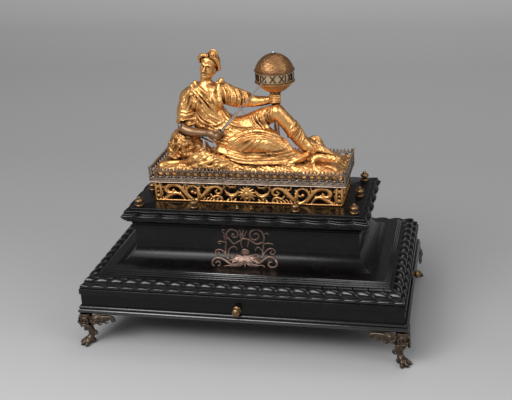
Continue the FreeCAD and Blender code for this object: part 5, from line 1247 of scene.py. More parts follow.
TRUNK = [([(229, 128, 2), (222, 124, 0), (213, 112, -1), (207, 101, 0)], (14, 14, 12.5, 12)),
         ([(188, 97, 3), (197, 93, 1), (208, 92, 1), (223, 92, 3)], (8.5, 10, 10.5, 9)),
         ([(195, 104, 4), (198, 114, 3), (205, 124, 2)], (9.0, 9.5, 11)),
         ([(206.2, 86, 3), (205.8, 78.5, 2)], (6.6, 5.7))]
BREASTS = [((198, 103, -7), 7.5), ((216, 102, -7), 7.5)]
SHOULDER_KNOTS = [((195.3, 82.6, -1), 2.6), ((192.3, 85.8, -1), 3.0), ((221.5, 80.8, -1), 3.2),
                  ((217.8, 83.0, -2), 2.4)]
RIGHT_SLEEVE = [(190, 95, 3), (188.5, 102, 1), (187, 110, 0), (186, 118, -1)]
RIGHT_SLEEVE_RADII = (8.2, 9.6, 10.4, 9.6)
RIGHT_CUFF = [(177.8, 121.5, 0), (181.5, 125.0, -6), (187, 125.8, -8), (193, 124.0, -6)]
CUFF_OPENING = [(182.5, 121.6, -9), (187, 122.4, -10), (191, 121.8, -9)]
LEFT_SLEEVE = [(222, 90, 3), (229, 95, 2), (238, 97.7, 1), (245.5, 99.2, 0)]
LEFT_SLEEVE_RADII = (9.0, 10.5, 9.8, 8.3)
LEFT_ARM = [(244, 100, 0), (253, 101, 0), (262, 100.9, 0), (268, 100.3, 0), (275.5, 98.9, -1)]
LEFT_ARM_RADII = (6.6, 6.1, 5.0, 4.1, 4.6)
LEFT_FINGERS = [[(270.5, v + 0.8, -4.5), (275.0, v, -6.6), (280.0, v + 0.2, -3.4)]
                for v in (95.6, 97.9, 100.2, 102.3)]
LEFT_THUMB = [(270, 95.5, -3), (273, 93.6, -5), (277, 93.2, -5)]
THIGH = [(230, 128, -2), (242, 127, -3), (256, 121, -5), (268, 115, -6), (277, 111.5, -7)]
THIGH_RADII = (12.5, 11.5, 10.5, 9.0, 7.2)
SHIN = [(277, 111.5, -7), (285, 120, -7), (293.5, 130, -6), (301, 140, -6), (308, 146, -6)]
SHIN_RADII = (7.3, 7.6, 8.4, 7.2, 6.2)
FOOT = [(306, 146, -6), (312, 148.0, -7), (319, 149.8, -9), (326, 152.2, -11), (331.5, 154.4, -12)]
FOOT_RADII = (6.4, 6.6, 5.8, 4.6, 3.0)
BOOT_TOP = [(298.0, 126.0, -5), (295.8, 128.4, -13), (291.5, 133.0, -14), (288.2, 137.0, -8)]
NEAR_LEG = [(226, 140, -8), (240, 142, -13), (256, 142, -18), (268, 143, -19), (282, 149, -18),
            (294, 155, -16), (303, 159, -15)]
NEAR_LEG_RADII = (11, 10.5, 11, 11.2, 8.0, 5.5, 3.0)
APRON = [([(214, 132, -9), (228, 139, -12), (244, 148, -16), (262, 152, -18)], (8, 9, 8, 7)),
         ([(236, 126, -6), (250, 128, -9), (262, 131, -13), (272, 136, -15)], (9, 9, 8, 6)),
         ([(222, 152, -16), (240, 158, -20), (262, 161, -22), (285, 161, -20)], (7, 6, 6, 5)),
         ([(262, 161, -20), (282, 164, -21), (298, 160, -19), (307, 155, -15)], (5, 4.5, 4, 3))]

# folds that spread between two lines: how many, their radius and lift, the first line and the last
FANS = [
    (5, 1.1, 0.9, [(189, 91), (184, 98), (181.5, 108)], [(198, 91), (198, 100), (196, 111)]),
    (4, 1.2, 1.1, [(191, 94), (200, 105), (210, 117)], [(199, 87), (208, 96), (216, 107)]),
    (6, 1.1, 1.1, [(215, 87), (213, 95), (217, 104)], [(227, 84), (233, 92), (232, 104)]),
    (6, 1.1, 1.0, [(232, 88), (236, 97), (234, 106)], [(246, 92), (248.5, 99), (247, 106)]),
    (4, 1.1, 1.0, [(196, 115), (203, 122), (214, 127)], [(203, 106), (210, 115), (222, 121)]),
    (4, 1.0, 0.8, [(223, 113), (230, 120), (240, 124)], [(226, 130), (236, 133), (248, 131)]),
    (8, 1.1, 1.2, [(249, 117), (253, 124), (261, 131)], [(273, 107), (271.5, 115), (275, 123)]),
    (3, 1.3, 1.4, [(229, 140), (241, 133), (256, 130), (272, 134), (288, 145)],
     [(231, 147), (242, 141), (256, 137.5), (270, 139), (283, 146)]),
    (6, 1.2, 1.2, [(228, 150), (242, 154), (260, 154), (278, 153), (292, 151)],
     [(226, 159), (242, 163), (262, 164), (284, 163), (300, 158)]),
    (3, 1.0, 0.8, [(208, 133), (216, 140), (228, 145)], [(212, 129), (222, 134), (236, 135)]),
    (3, 0.8, 0.6, [(240, 152), (247, 147), (253, 141)], [(252, 153), (258, 147), (262, 141)]),
    (3, 1.0, 0.8, [(180, 111.5), (187, 112.5), (195, 110)], [(178, 119), (185, 120), (194, 118)]),
    (4, 0.8, 0.6, [(299, 126), (297, 132), (293, 138)], [(305, 136), (303, 142), (300, 147)]),
    (4, 0.7, 0.6, [(309, 142), (311, 146), (311, 152)], [(323, 147), (325, 151), (324, 155)]),
]
FAN_GROOVE = (0.75, 0.7)
FOLD_DRIFT, FOLD_UNLIKE = 0.22, 0.24
# free ways for the arm's rod and the eye at its top: points, radius, blend
ROD_WAY = ([(-45.0, -20.0, 160.0), (-45.0, -20.0, 204.0)], 2.7, 0.4)
EYE_WAY = ([(-46.0, -20.0, 202.5), (-35.0, -20.0, 199.5), (-35.0, -20.0, 206.5), (-46.0, -20.0, 209.0)],
           3.7, 0.4)

RIDGES = [
    # neckline: a band from each shoulder, crossed on the breast
    (1.3, 1.3, [(192, 87), (199, 93), (206, 100), (212, 107), (216, 112)]),
    (1.1, 1.1, [(195, 84), (202, 90), (209, 96), (215, 103)]),
    (1.4, 1.4, [(220, 82), (218, 90), (220, 98), (223, 106)]),
    (1.2, 1.1, [(203, 105), (208, 111), (212, 117)]),
    # girdle under the breast, and the long edge of the cloth over the near knee
    (1.3, 1.1, [(200, 119), (207, 124), (216, 125), (224, 121)]),
    (1.8, 1.8, [(229, 141), (236, 137), (244, 133), (252, 131), (261, 131), (270, 133), (279, 137),
                (287, 143), (291, 149)]),
    (1.6, 1.4, [(278, 165), (288, 164), (298, 160), (307, 155)]),
    # edge of the boot's top, its lace and sole
    (0.9, 0.9, [(299, 125), (297, 128), (293, 133), (289, 138)]),
    (0.8, 0.8, [(296.5, 121.5), (293, 126), (290, 131), (286.5, 136)]),
    (1.0, 0.9, [(309, 152.6), (316, 155), (324, 157), (331, 157.8)]),
]
GROOVES = [
    (0.9, 1.2, [(204, 96), (208, 101), (212, 104)]),
    (0.9, 1.4, [(210, 97), (213, 102), (214, 106)]),
    (0.9, 1.1, [(193, 98), (198, 104), (203, 111)]),
    (1.0, 1.4, [(195, 114), (199, 121), (204, 126)]),
    (1.0, 1.3, [(223, 108), (227, 114), (231, 119)]),
    (1.0, 1.2, [(233, 128), (243, 129), (252, 128)]),
    (1.1, 1.6, [(238, 138.5), (247, 134.5), (257, 133), (268, 135), (280, 140)]),
    (0.9, 1.2, [(229, 150), (242, 153), (258, 153), (276, 152), (288, 149)]),
    (0.8, 1.0, [(236, 150), (246, 143), (254, 138)]),
    (0.9, 1.1, [(210, 128), (219, 131), (228, 130)]),
    (0.8, 1.1, [(290, 136), (294, 130), (297.5, 124)]),
    (0.8, 1.0, [(311, 151), (318, 153.4), (326, 155.4)]),
]


def between_lines(first, last, share):
    """The line that lies a share of the way from one line of pixels to another."""
    return [((1 - share) * a + share * c, (1 - share) * b + share * d) for (a, b), (c, d) in zip(first, last)]


FIGURE_LOW, FIGURE_HIGH = (-84, -34, 162), (100, 22, 268)
FIGURE_STEP = 0.5


def sculpt_figure():
    clay = Clay(FIGURE_LOW, FIGURE_HIGH, FIGURE_STEP)
    for pixels, radii in TRUNK:
        body(clay, pixels, radii, 4.0)
    for spot, radius in BREASTS:
        clay.ball(seen(*spot), (radius, radius * 0.8, radius), 4.0)
    body(clay, RIGHT_SLEEVE, RIGHT_SLEEVE_RADII, 2.5)
    body(clay, LEFT_SLEEVE, LEFT_SLEEVE_RADII, 2.5)
    body(clay, THIGH, THIGH_RADII, 4.0)
    body(clay, NEAR_LEG, NEAR_LEG_RADII, 4.0)
    for pixels, radii in APRON:
        body(clay, pixels, radii, 4.0)
    body(clay, LEFT_ARM, LEFT_ARM_RADII, 1.0)
    body(clay, SHIN, SHIN_RADII, 1.5)
    body(clay, FOOT, FOOT_RADII, 2.0)
    for spot, radius in SHOULDER_KNOTS:
        clay.ball(seen(*spot), radius, 0.8)
    body(clay, RIGHT_CUFF, (2.0, 2.2, 2.2, 2.0), 1.0)
    body(clay, BOOT_TOP, (1.2, 1.6, 1.6, 1.2), 0.8)
    for line in LEFT_FINGERS + [LEFT_THUMB]:
        body(clay, line, (1.2, 1.4, 1.1), 0.3)
    clay.roughen(0.12, 5.0, 31)
    for count, radius, lift, first, last in FANS:
        for k in range(count):
            share = (k + FOLD_DRIFT * math.sin(2.3 * k + count)) / (count - 1)
            size = 1 + FOLD_UNLIKE * math.sin(4.1 * k + radius * count)
            clay.fold(between_lines(first, last, share), radius * size, lift * size, 0.8)
            if k:
                clay.fold(between_lines(first, last, share - 0.5 / (count - 1)), *FAN_GROOVE, 0.6, sign=-1)
    clay.folds(RIDGES, GROOVES)
    clay.chain([seen(*p) for p in CUFF_OPENING], (2.0, 2.6, 2.0), 0.4, sign=-1)
    clay.roughen(0.05, 1.9, 32)
    for way in (ROD_WAY, EYE_WAY):
        clay.chain(*way, sign=-1)
    clay.keep_above(DECK_TOP + 1.0)
    dress(clay.make("figure_cast"), "case", "gilt", "figure_torso", "figure_skirt", "figure_left_leg",
          "figure_left_arm")


# head: worked out about its own upright, face toward -y, chin near z 0, then tilted into place

HEAD_UP = np.array([0.242, 0.0, 0.970])
HEAD_FACING = np.array([-0.25, -0.95, -0.12])
HEAD_MIDDLE = (0.0, 0.0, 12.2)
HEAD_SPOT = (209, 66, 0)
HEAD_LOW, HEAD_HIGH = (-14.5, -15, -3.5), (15.5, 16, 33)
HEAD_STEP = 0.25

FACE = [((0, -1.6, 10.4), (7.0, 7.8, 9.6)), ((0, -3.4, 17.2), (6.9, 5.9, 5.6)),
        ((0, -6.5, 3.0), (2.8, 2.4, 2.4)), ((-4.1, -5.8, 8.6), (2.6, 2.3, 2.7)),
        ((4.1, -5.8, 8.6), (2.6, 2.3, 2.7))]
HAIR_CENTRE = np.array([0.0, 1.9, 15.6])
HAIR_RADII = np.array([8.9, 10.3, 9.9])
STRANDS = 10
LOCKS = [
    # rolls of hair from the crown down past the temples; the second goes back to the nape
    [(0, -6.9, 24.2), (-5.0, -6.9, 23.9), (-8.9, -5.2, 21.2), (-10.6, -3.6, 17.6), (-9.6, -3.0, 14.8),
     (-8.4, -1.6, 15.6)],
    [(3, -6.4, 24.6), (6.8, -4.9, 23.2), (9.6, -2.4, 19.4), (11.0, 0.0, 15.4), (10.2, 2.4, 11.4),
     (6.2, 5.6, 8.8)],
]
KNOT = np.array([4.0, -2.6, 26.4])
KNOT_RADIUS = 4.7


def both(clay, spots, radii, blend, sign=1):
    """A form on both sides of the face."""
    for side in (-1, 1):
        clay.chain([(x * side, y, z) for x, y, z in spots], radii, blend, sign)


def sculpt_face(clay):
    for centre, radii in FACE:
        clay.ball(centre, radii, 2.4)
    both(clay, [(1.2, -6.2, 2.6), (4.3, -3.8, 4.2), (5.9, 0.6, 7.4)], (2.1, 2.1, 2.4), 2.2)
    both(clay, [(2.3, -11.0, 12.5), (4.6, -9.9, 12.4)], (2.2, 2.0), 1.2, sign=-1)
    both(clay, [(2.9, -7.35, 12.3), (3.7, -7.2, 12.3)], 1.75, 0.3)
    both(clay, [(1.4, -8.8, 12.2), (2.5, -9.35, 13.25), (3.8, -9.2, 13.3), (5.2, -7.9, 12.3)], 0.42, 0.25)
    both(clay, [(1.5, -8.8, 12.0), (2.6, -9.1, 11.2), (3.8, -8.9, 11.1), (5.1, -7.9, 12.0)], 0.32, 0.25)
    both(clay, [(1.8, -9.35, 12.25), (4.8, -8.6, 12.25)], 0.22, 0.15, sign=-1)
    both(clay, [(1.1, -9.4, 14.7), (3.1, -9.3, 15.6), (5.7, -7.4, 14.7)], (0.8, 0.75, 0.5), 1.0)
    clay.chain([(0, -9.0, 14.6), (0, -10.0, 11.4), (0, -11.7, 8.6)], (0.85, 0.9, 1.2), 0.8)
    both(clay, [(1.1, -10.3, 8.2), (1.5, -9.7, 8.0)], 0.85, 0.5)
    both(clay, [(0.7, -11.0, 7.5), (1.0, -10.2, 7.3)], 0.35, 0.3, sign=-1)
    clay.chain([(-2.7, -8.3, 5.7), (-1.0, -9.7, 6.15), (0, -9.6, 5.95), (1.0, -9.7, 6.15), (2.7, -8.3, 5.7)],
               (0.3, 0.6, 0.55, 0.6, 0.3), 0.4)
    clay.chain([(-2.2, -8.4, 5.2), (-0.8, -9.5, 4.75), (0.8, -9.5, 4.75), (2.2, -8.4, 5.2)],
               (0.3, 0.75, 0.75, 0.3), 0.45)
    clay.chain([(-2.9, -8.7, 5.5), (0, -10.5, 5.4), (2.9, -8.7, 5.5)], 0.3, 0.2, sign=-1)
    clay.ball((0, -9.5, 3.6), (1.7, 0.9, 0.6), 0.7, sign=-1)
    both(clay, [(3.1, -8.6, 5.4), (3.1, -8.2, 5.2)], 0.5, 0.6, sign=-1)


def on_hair(way):
    way = np.asarray(way, float)
    return HAIR_CENTRE + HAIR_RADII * way / np.linalg.norm(way)


def sculpt_hair(clay):
    """The hair is combed from the brow and the nape up to the knot, in strands."""
    clay.ball(HAIR_CENTRE, HAIR_RADII - 0.5, 0.6)
    clay.ball((0, -9.4, 9.4), (6.8, 7.2, 9.6), 0.8, sign=-1)
    for side in (-1, 1):
        for k in range(STRANDS):
            t = k / (STRANDS - 1)
            brow = (side * (0.1 + 0.75 * min(1, 1.5 * t)), -0.86 + 1.0 * t ** 1.3, 0.50 - 0.75 * t)
            line = [brow, (side * (0.25 + 0.5 * t), brow[1] + 0.15, brow[2] + 0.45),
                    (side * 0.25 * (1 + t) + 0.15, -0.35 + 0.25 * t, 0.9), (0.38, -0.2, 0.9)]
            spots = smooth_line([on_hair(p) for p in line], 6)
            swing = 1 + 0.02 * np.sin(np.arange(len(spots)) * 0.9 + k * 1.7)[:, None]
            clay.chain(HAIR_CENTRE + (spots - HAIR_CENTRE) * swing, 0.95, 0.15)
        for k in range(5):
            a = math.radians(20 + 26 * k)
            line = [(side * 0.3 * math.sin(a), 0.75, -0.65),
                    (side * math.sin(a), 0.72, -0.1 + 0.3 * math.cos(a)),
                    (side * 0.6 * math.sin(a), 0.5, 0.7), (0.35, 0.1, 0.93)]
            clay.chain([on_hair(p) for p in smooth_line(line, 6)], 1.0, 0.15)


def sculpt_locks(clay):
    """Twisted rolls at the temples, and the coiled knot on the crown."""
    for lock in LOCKS:
        spine = smooth_line(lock, 8)
        out = spine - HAIR_CENTRE
        out /= np.linalg.norm(out, axis=1)[:, None]
        side = np.cross(np.gradient(spine, axis=0), out)
        side /= np.linalg.norm(side, axis=1)[:, None]
        for start in (0, 1, 2):
            turn = (np.arange(len(spine)) * 0.5 + start * 2.094)[:, None]
            clay.chain(spine + 0.95 * (np.cos(turn) * out + np.sin(turn) * side),
                       np.interp(np.arange(len(spine)), (0, 12, len(spine)), (0.8, 1.25, 0.8)), 0.1)
    clay.ball(KNOT, (KNOT_RADIUS - 0.9, 3.6, KNOT_RADIUS - 0.9), 0.6)
    for start, turns, big in ((0.4, 1.15, KNOT_RADIUS), (3.0, 0.95, KNOT_RADIUS - 1.9),
                              (5.0, 0.7, KNOT_RADIUS - 3.4)):
        angles = np.linspace(start, start + turns * 2 * math.pi, 26)
        shrink = np.linspace(1, 0.82, len(angles))
        depth = -1.0 - 1.1 * (KNOT_RADIUS - big)
        clay.chain([KNOT + (big * r * math.cos(a), depth, big * r * math.sin(a))
                    for a, r in zip(angles, shrink)],
                   np.interp(np.arange(26), (0, 13, 25), (0.7, 1.2, 0.7)), 0.1)
    clay.chain([KNOT + (0, 1.2, 0), KNOT + (-1.0, 2.5, -5.0)], (4.0, 4.6), 1.5)


def sculpt_head():
    up = HEAD_UP / np.linalg.norm(HEAD_UP)
    back = -(HEAD_FACING - up * (HEAD_FACING @ up))
    back /= np.linalg.norm(back)
    turn = np.stack([np.cross(back, up), back, up], axis=1)
    clay = Clay(HEAD_LOW, HEAD_HIGH, HEAD_STEP)
    sculpt_hair(clay)
    sculpt_face(clay)
    for side in (-1, 1):
        clay.ball((side * 7.9, 0.6, 10.8), (1.0, 1.8, 2.6), 0.6)
        clay.ball((side * 8.9, 0.3, 10.9), (0.6, 1.0, 1.7), 0.4, sign=-1)
    sculpt_locks(clay)
    clay.chain([(-0.6, 3.0, 8), (-2.4, 3.6, -2.6)], (5.2, 5.4), 1.5)
    shift = seen(*HEAD_SPOT) - turn @ np.array(HEAD_MIDDLE)
    dress(clay.make("head_cast", turn, shift), "case", "gilt", "figure_head")


# right forearm and hand: the fist closes on the pointer's holder

FOREARM = [(182.5, 126.5, -9), (186, 129.6, -11), (192, 131.6, -13), (199, 132.6, -16), (206, 133.1, -19),
           (211.5, 133.6, -21.5)]
FOREARM_RADII = (5.0, 5.0, 4.6, 4.1, 3.6, 3.5)
GRIP_START = np.array([-32.2, -24.0, 205.4])
GRIP_WAY = np.array([0.6657, 0.0, 0.7463])
GRIP_PLACES = (2.6, 5.2, 7.8, 10.2)
GRIP_RADIUS = 2.9
FINGER, FINGER_CURL, FINGER_POINTS = (1.45, 1.1), (-205, 95), 9
FOREARM_LOW, FOREARM_HIGH = (-80, -31, 198), (-18, -2, 226)
FOREARM_STEP, QUICK_FOREARM = 0.36, 0.6
WRIST = (210, 133.4, -21)
# the thin ring at the elbow: its middle pixel and depth, its half sizes and its thickness
RING_SPOT, RING_SIZE, RING_THICK = (184.5, 128.0, -11), (5.2, 2.0, 4.0), 0.2


def sculpt_forearm():
    clay = Clay(FOREARM_LOW, FOREARM_HIGH, FOREARM_STEP)
    body(clay, FOREARM, FOREARM_RADII, 1.0, 4)
    across = np.array([0.0, -1.0, 0.0])
    down = np.cross(GRIP_WAY, across)
    palm = GRIP_START + GRIP_WAY * 6.2
    clay.chain([seen(*WRIST), palm + down * 1.2 + (-2.2, 0, -0.4)], (3.4, 4.3), 1.5)
    for place in GRIP_PLACES:
        centre = GRIP_START + GRIP_WAY * place
        finger = [centre + GRIP_RADIUS * (math.cos(a) * across + math.sin(a) * down)
                  for a in np.radians(np.linspace(*FINGER_CURL, FINGER_POINTS))]
        clay.chain(finger, np.linspace(*FINGER, FINGER_POINTS), 0.35)
    thumb = [palm + spot for spot in ((-3.2, -1.0, 1.2), (-1.2, -2.6, 3.8), (1.6, -2.4, 6.6))]
    clay.chain(thumb, (1.7, 1.5, 1.15), 0.6)
    ring = [seen(RING_SPOT[0] + RING_SIZE[0] * math.cos(a), RING_SPOT[1] + RING_SIZE[1] * math.sin(a),
                 RING_SPOT[2] - RING_SIZE[2] * math.sin(a)) for a in np.linspace(0, 2 * math.pi, 13)]
    clay.chain(ring, RING_THICK, 0.1)
    dress(clay.make("forearm_cast"), "right_forearm", "pale_gilt", "right_forearm")


# mound under the right arm, and the ground that the figure rests on

MOUND = [(186, 143, -4, 15.0), (178.5, 147, -4, 11.5), (197, 149, -3, 13.0), (180, 136, -2, 8.0),
         (190, 153, -8, 11.0), (205, 154, -8, 9.0), (176, 155, -8, 9.0)]
MOUND_RIDGES = [
    (1.8, 1.3, [(173, 143), (175, 138), (179, 135), (184, 137)]),
    (1.6, 1.2, [(174, 147), (178, 143), (182, 144), (185, 148)]),
    (1.5, 1.1, [(176, 153), (178, 149), (180, 146)]),
    (1.6, 1.2, [(181, 139), (186, 141), (191, 139)]),
    (1.5, 1.0, [(181, 147), (186, 144), (191, 144)]),
    (1.8, 1.4, [(172, 161), (181, 160.5), (190, 159.5), (198, 156.5), (205, 151.5)]),
    (1.3, 0.9, [(171, 156), (174, 158), (177, 159)]),
    (1.4, 0.9, [(184, 151), (190, 149), (197, 146), (203, 145)]),
]
MOUND_GROOVES = [(0.8, 0.9, [(180, 158.5), (187, 158), (194, 156), (200, 152)]),
                 (0.9, 1.1, [(175, 140), (176, 145), (174, 150)]),
                 (0.8, 0.9, [(183, 143), (180, 150), (183, 155)])]
ROD_COVER = [((-45.0, -27.5, 176.0), (18.0, 5.5, 17.5)), ((-30.0, -26.5, 174.0), (14.0, 6.5, 15.0))]
MOUND_LOW, MOUND_HIGH = (-96, -32, 162), (-40, 26, 216)

GROUND_HALF = (100.4, 34.1)
GROUND_FLOOR, GROUND_BED, GROUND_TOP = 162.0, 171.4, 198
GROUND_LUMPS = [
    (-88, -12, 172, (11, 16, 6)), (-60, -16, 172, (22, 15, 8)), (-30, -20, 173, (24, 12, 8)),
    (0, -22, 172, (26, 10, 8)), (30, -20, 172, (26, 12, 8)), (58, -16, 172, (22, 14, 8)),
    (80, -14, 171, (15, 15, 7)), (-50, 12, 174, (36, 18, 8)), (20, 12, 174, (52, 18, 8)),
    (76, 12, 172, (20, 17, 7)), (-24, -6, 178, (16, 12, 8)),
]
GROUND_RIDGES = [
    (2.0, 1.4, [(160, 165), (168, 162.5), (178, 162), (188, 161.5), (197, 159), (204, 155)]),
    (1.6, 1.2, [(214, 163), (223, 161.5), (230, 159.5), (238, 158), (246, 158)]),
    (1.6, 1.3, [(222, 166.5), (230, 163), (236, 165), (243, 168.5)]),
    (1.8, 1.4, [(248, 164), (256, 163), (264, 165), (270, 168)]),
    (1.6, 1.2, [(262, 161), (270, 162.5), (278, 165), (286, 168)]),
    (2.2, 1.9, [(283, 166.5), (291, 165), (299, 161.5), (306, 157.5)]),
    (1.5, 1.1, [(196, 165), (204, 163), (212, 160), (218, 155)]),
    (1.5, 1.1, [(204, 168), (212, 166), (219, 163)]),
    (1.6, 1.2, [(318, 166.5), (323, 165), (329, 165.5), (335, 167)]),
    (1.8, 1.4, [(314, 166), (316, 169), (319, 171)]),
    (2.0, 1.4, [(320, 168), (327, 166.5), (333, 168), (337, 171)]),
    (1.8, 1.4, [(303, 152), (306, 156), (308, 160)]),
    (1.6, 1.2, [(288, 158), (292, 160), (298, 161)]),
    (1.5, 1.2, [(194, 160), (200, 154), (207, 150.5), (214, 150)]),
    (1.4, 1.1, [(199, 163), (206, 157), (213, 154), (221, 153)]),
    (1.4, 1.1, [(206, 165), (213, 160), (220, 157.5), (228, 156)]),
]
GROUND_GROOVES = [(0.9, 1.0, [(208, 165), (218, 163), (228, 161.5)]),
                  (1.0, 1.2, [(306, 160), (309, 164), (311, 169)]),
                  (1.6, 2.6, [(317.5, 162), (324, 161.5), (331, 163)]),
                  (0.9, 0.9, [(248, 167), (258, 166), (266, 169)]),
                  (0.9, 0.9, [(180, 165.5), (192, 164.5), (203, 161)])]
GROUND_STEP = 0.5
ROCK_LIP = [(313, 166, -22), (313.5, 160.5, -20), (318, 157, -18), (325, 157.5, -18), (332, 158.5, -19),
            (337, 162, -22)]
ROCK_LIP_RADII = (2.2, 2.8, 3.2, 3.2, 2.8, 1.8)
ROCK_LEAF = [(309, 138.5, 14), (313, 137.6, 14), (318, 139.2, 14), (322, 142.5, 13)]
ROCK = [(318, 143, 12), (322, 150, 10), (326, 158, 4)]


def sculpt_mound():
    clay = Clay(MOUND_LOW, MOUND_HIGH, GROUND_STEP)
    for u, v, y, radius in MOUND:
        clay.ball(seen(u, v, y), (radius, radius * 0.95, radius), 3.5)
    clay.roughen(0.55, 7.0, 11)
    clay.roughen(0.22, 2.6, 12)
    clay.folds(MOUND_RIDGES, MOUND_GROOVES)
    clay.keep_above(GROUND_FLOOR + 1.0)
    clay.chain(*ROD_WAY, sign=-1)
    dress(clay.make("mound_cast"), "case", "gilt", "mound", finish="rock_gilt")


def sculpt_ground():
    half_x, half_y = GROUND_HALF
    clay = Clay((-half_x - 1, -half_y - 1, GROUND_FLOOR - 1), (half_x + 1, half_y + 1, GROUND_TOP),
                GROUND_STEP)
    clay.slab((-half_x, -half_y, GROUND_FLOOR - 3), (half_x, half_y, GROUND_BED), 2.0, 0.0)
    for x, y, z, radii in GROUND_LUMPS:
        clay.ball((x, y, z), radii, 6.0)
    for place, radii in ROD_COVER:
        clay.ball(place, radii, 5.0)
    body(clay, ROCK_LEAF, (1.2, 2.2, 1.8, 1.0), 0.6)
    body(clay, ROCK_LIP, ROCK_LIP_RADII, 1.2)
    body(clay, ROCK, (4.5, 5.5, 5.0), 3.0)
    clay.roughen(0.5, 9.0, 21)
    clay.roughen(0.22, 2.8, 22)
    clay.folds(GROUND_RIDGES, GROUND_GROOVES)
    clay.keep_within(np.abs(clay.along(0)) - half_x)
    clay.keep_within(np.abs(clay.along(1)) - half_y)
    clay.keep_above(GROUND_FLOOR)
    clay.chain(*ROD_WAY, sign=-1)
    dress(clay.make("ground_relief"), "case", "gilt", "ground_cast")


# globe: engraved shells, a turning hour band with numerals, a moulded stem

GLOBE_CENTRE = np.array([28.0, 0.0, 268.4])
GLOBE_RADIUS = 20.0
GLOBE_RIM = 20.5
BAND_RADIUS = 19.3
BAND_LOW, BAND_TOP = 261.5, 270.9
UPPER_LOW, LOWER_TOP = 271.2, 261.2
NUMERALS = ("I", "II", "III", "IV", "V", "VI", "VII", "VIII", "IX", "X", "XI", "XII")
NUMERAL_HEIGHT, NUMERAL_FOOT, NUMERAL_WIDEST = 6.5, 263.0, 7.8
NUMERAL_RISE = 0.45
FIRST_NUMERAL = math.radians(5)
BORE = 8.0
RIM_HEIGHT = 1.6
# waves of the engraving: their rates along x, y and z, and phase; the letters are finer by a factor
SHELL_WAVES = [(5.1, -3.2, 2.4, 0.3), (-3.7, 4.9, 4.2, 1.9), (2.2, 6.3, -5.1, 4.0), (7.9, 2.6, 3.3, 2.2),
               (-6.1, -7.4, 5.0, 5.1)]
LETTERS = 4.5


def shell_relief(way):
    """Raised lands and rows of letters too small to read, as a height on the engraved shell."""
    x, y, z = way.T
    waves = sum(np.sin(a * x + b * y + c * z + d) for a, b, c, d in SHELL_WAVES)
    land = np.clip(waves * 1.4, -0.5, 0.5)
    fine = sum(np.sin(a * LETTERS * y + b * LETTERS * z + c * LETTERS * x + d) for a, b, c, d in SHELL_WAVES)
    return 0.20 * land + 0.12 * np.clip(fine, -1, 1)


def make_shell(name, node, first, last, rim_low, rim_high, finish):
    """A part of the sphere between two angles, with a rim at its open edge, closed inside."""
    heap = Heap()
    rows, columns = ((60, 260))
    angles = np.linspace(first, last, rows)
    turns = np.linspace(0, 2 * math.pi, columns, endpoint=False)
    way = np.stack([np.cos(angles)[:, None] * np.cos(turns), np.cos(angles)[:, None] * np.sin(turns),
                    np.sin(angles)[:, None] * np.ones(columns)], axis=-1).reshape(-1, 3)
    edge = np.minimum(1, np.abs(angles - first) / 0.05)[:, None] * np.ones(columns)
    radius = GLOBE_RADIUS + shell_relief(way) * edge.reshape(-1)
    heap.add(GLOBE_CENTRE + way * radius[:, None],
             rows_of_quads(rows, columns, close_columns=True, flip=last < first))
    side = 1 if last > first else -1
    profile = [(GLOBE_RADIUS * math.cos(last), GLOBE_CENTRE[2] + GLOBE_RADIUS * math.sin(last)),
               (0.02, GLOBE_CENTRE[2] + side * GLOBE_RADIUS)]
    lathe(heap, profile if side > 0 else profile[::-1], (*GLOBE_CENTRE[:2], 0), segments=columns)
    ring = [(BORE, rim_low), (GLOBE_RIM - 0.55, rim_low), (GLOBE_RIM, rim_low + 0.35),
            (GLOBE_RIM - 0.1, rim_low + 0.7), (GLOBE_RIM - 0.45, (rim_low + rim_high) / 2),
            (GLOBE_RIM - 0.1, rim_high - 0.6), (GLOBE_RIM - 0.1, rim_high - 0.25),
            (GLOBE_RIM - 0.5, rim_high), (BORE, rim_high), (BORE, rim_low)]
    lathe(heap, ring, (*GLOBE_CENTRE[:2], 0), segments=columns)
    dress(heap.make(name, 40), "case", "globe_gilt", node, finish=finish)


MARKS, HOUR_MARK, QUARTER_MARK = 48, 1.3, 0.9


def make_hour_band():
    heap = Heap()
    lip, face = BAND_RADIUS + 0.15, BAND_RADIUS - 0.15
    ring = [(BORE, BAND_LOW), (BAND_RADIUS - 0.2, BAND_LOW), (lip, BAND_LOW + 0.25), (lip, BAND_LOW + 0.9),
            (face, BAND_LOW + 1.1), (face, BAND_TOP - 1.1), (lip, BAND_TOP - 0.9), (lip, BAND_TOP - 0.25),
            (BAND_RADIUS - 0.2, BAND_TOP), (BORE, BAND_TOP), (BORE, BAND_LOW)]
    lathe(heap, ring, (*GLOBE_CENTRE[:2], 0), segments=144)
    for k in range(MARKS):
        a = math.radians(360 / MARKS * k)
        out = np.array([math.cos(a), math.sin(a), 0.0])
        along = np.array([-math.sin(a), math.cos(a), 0.0])
        long = QUARTER_MARK if k % 4 else HOUR_MARK
        box = [GLOBE_CENTRE * (1, 1, 0) + out * (BAND_RADIUS - 0.2 + 0.3 * i) + along * 0.12 * (2 * j - 1)
               + (0, 0, BAND_LOW + 1.2 + long * m) for i in (0, 1) for j in (0, 1) for m in (0, 1)]
        heap.add(box, [(0, 1, 3, 2), (4, 6, 7, 5), (0, 2, 6, 4), (1, 5, 7, 3), (0, 4, 5, 1), (2, 3, 7, 6)])
    dress(heap.make("hour_band", 30), "hour_dial", "silver", "hour_ring", finish="band_silver")


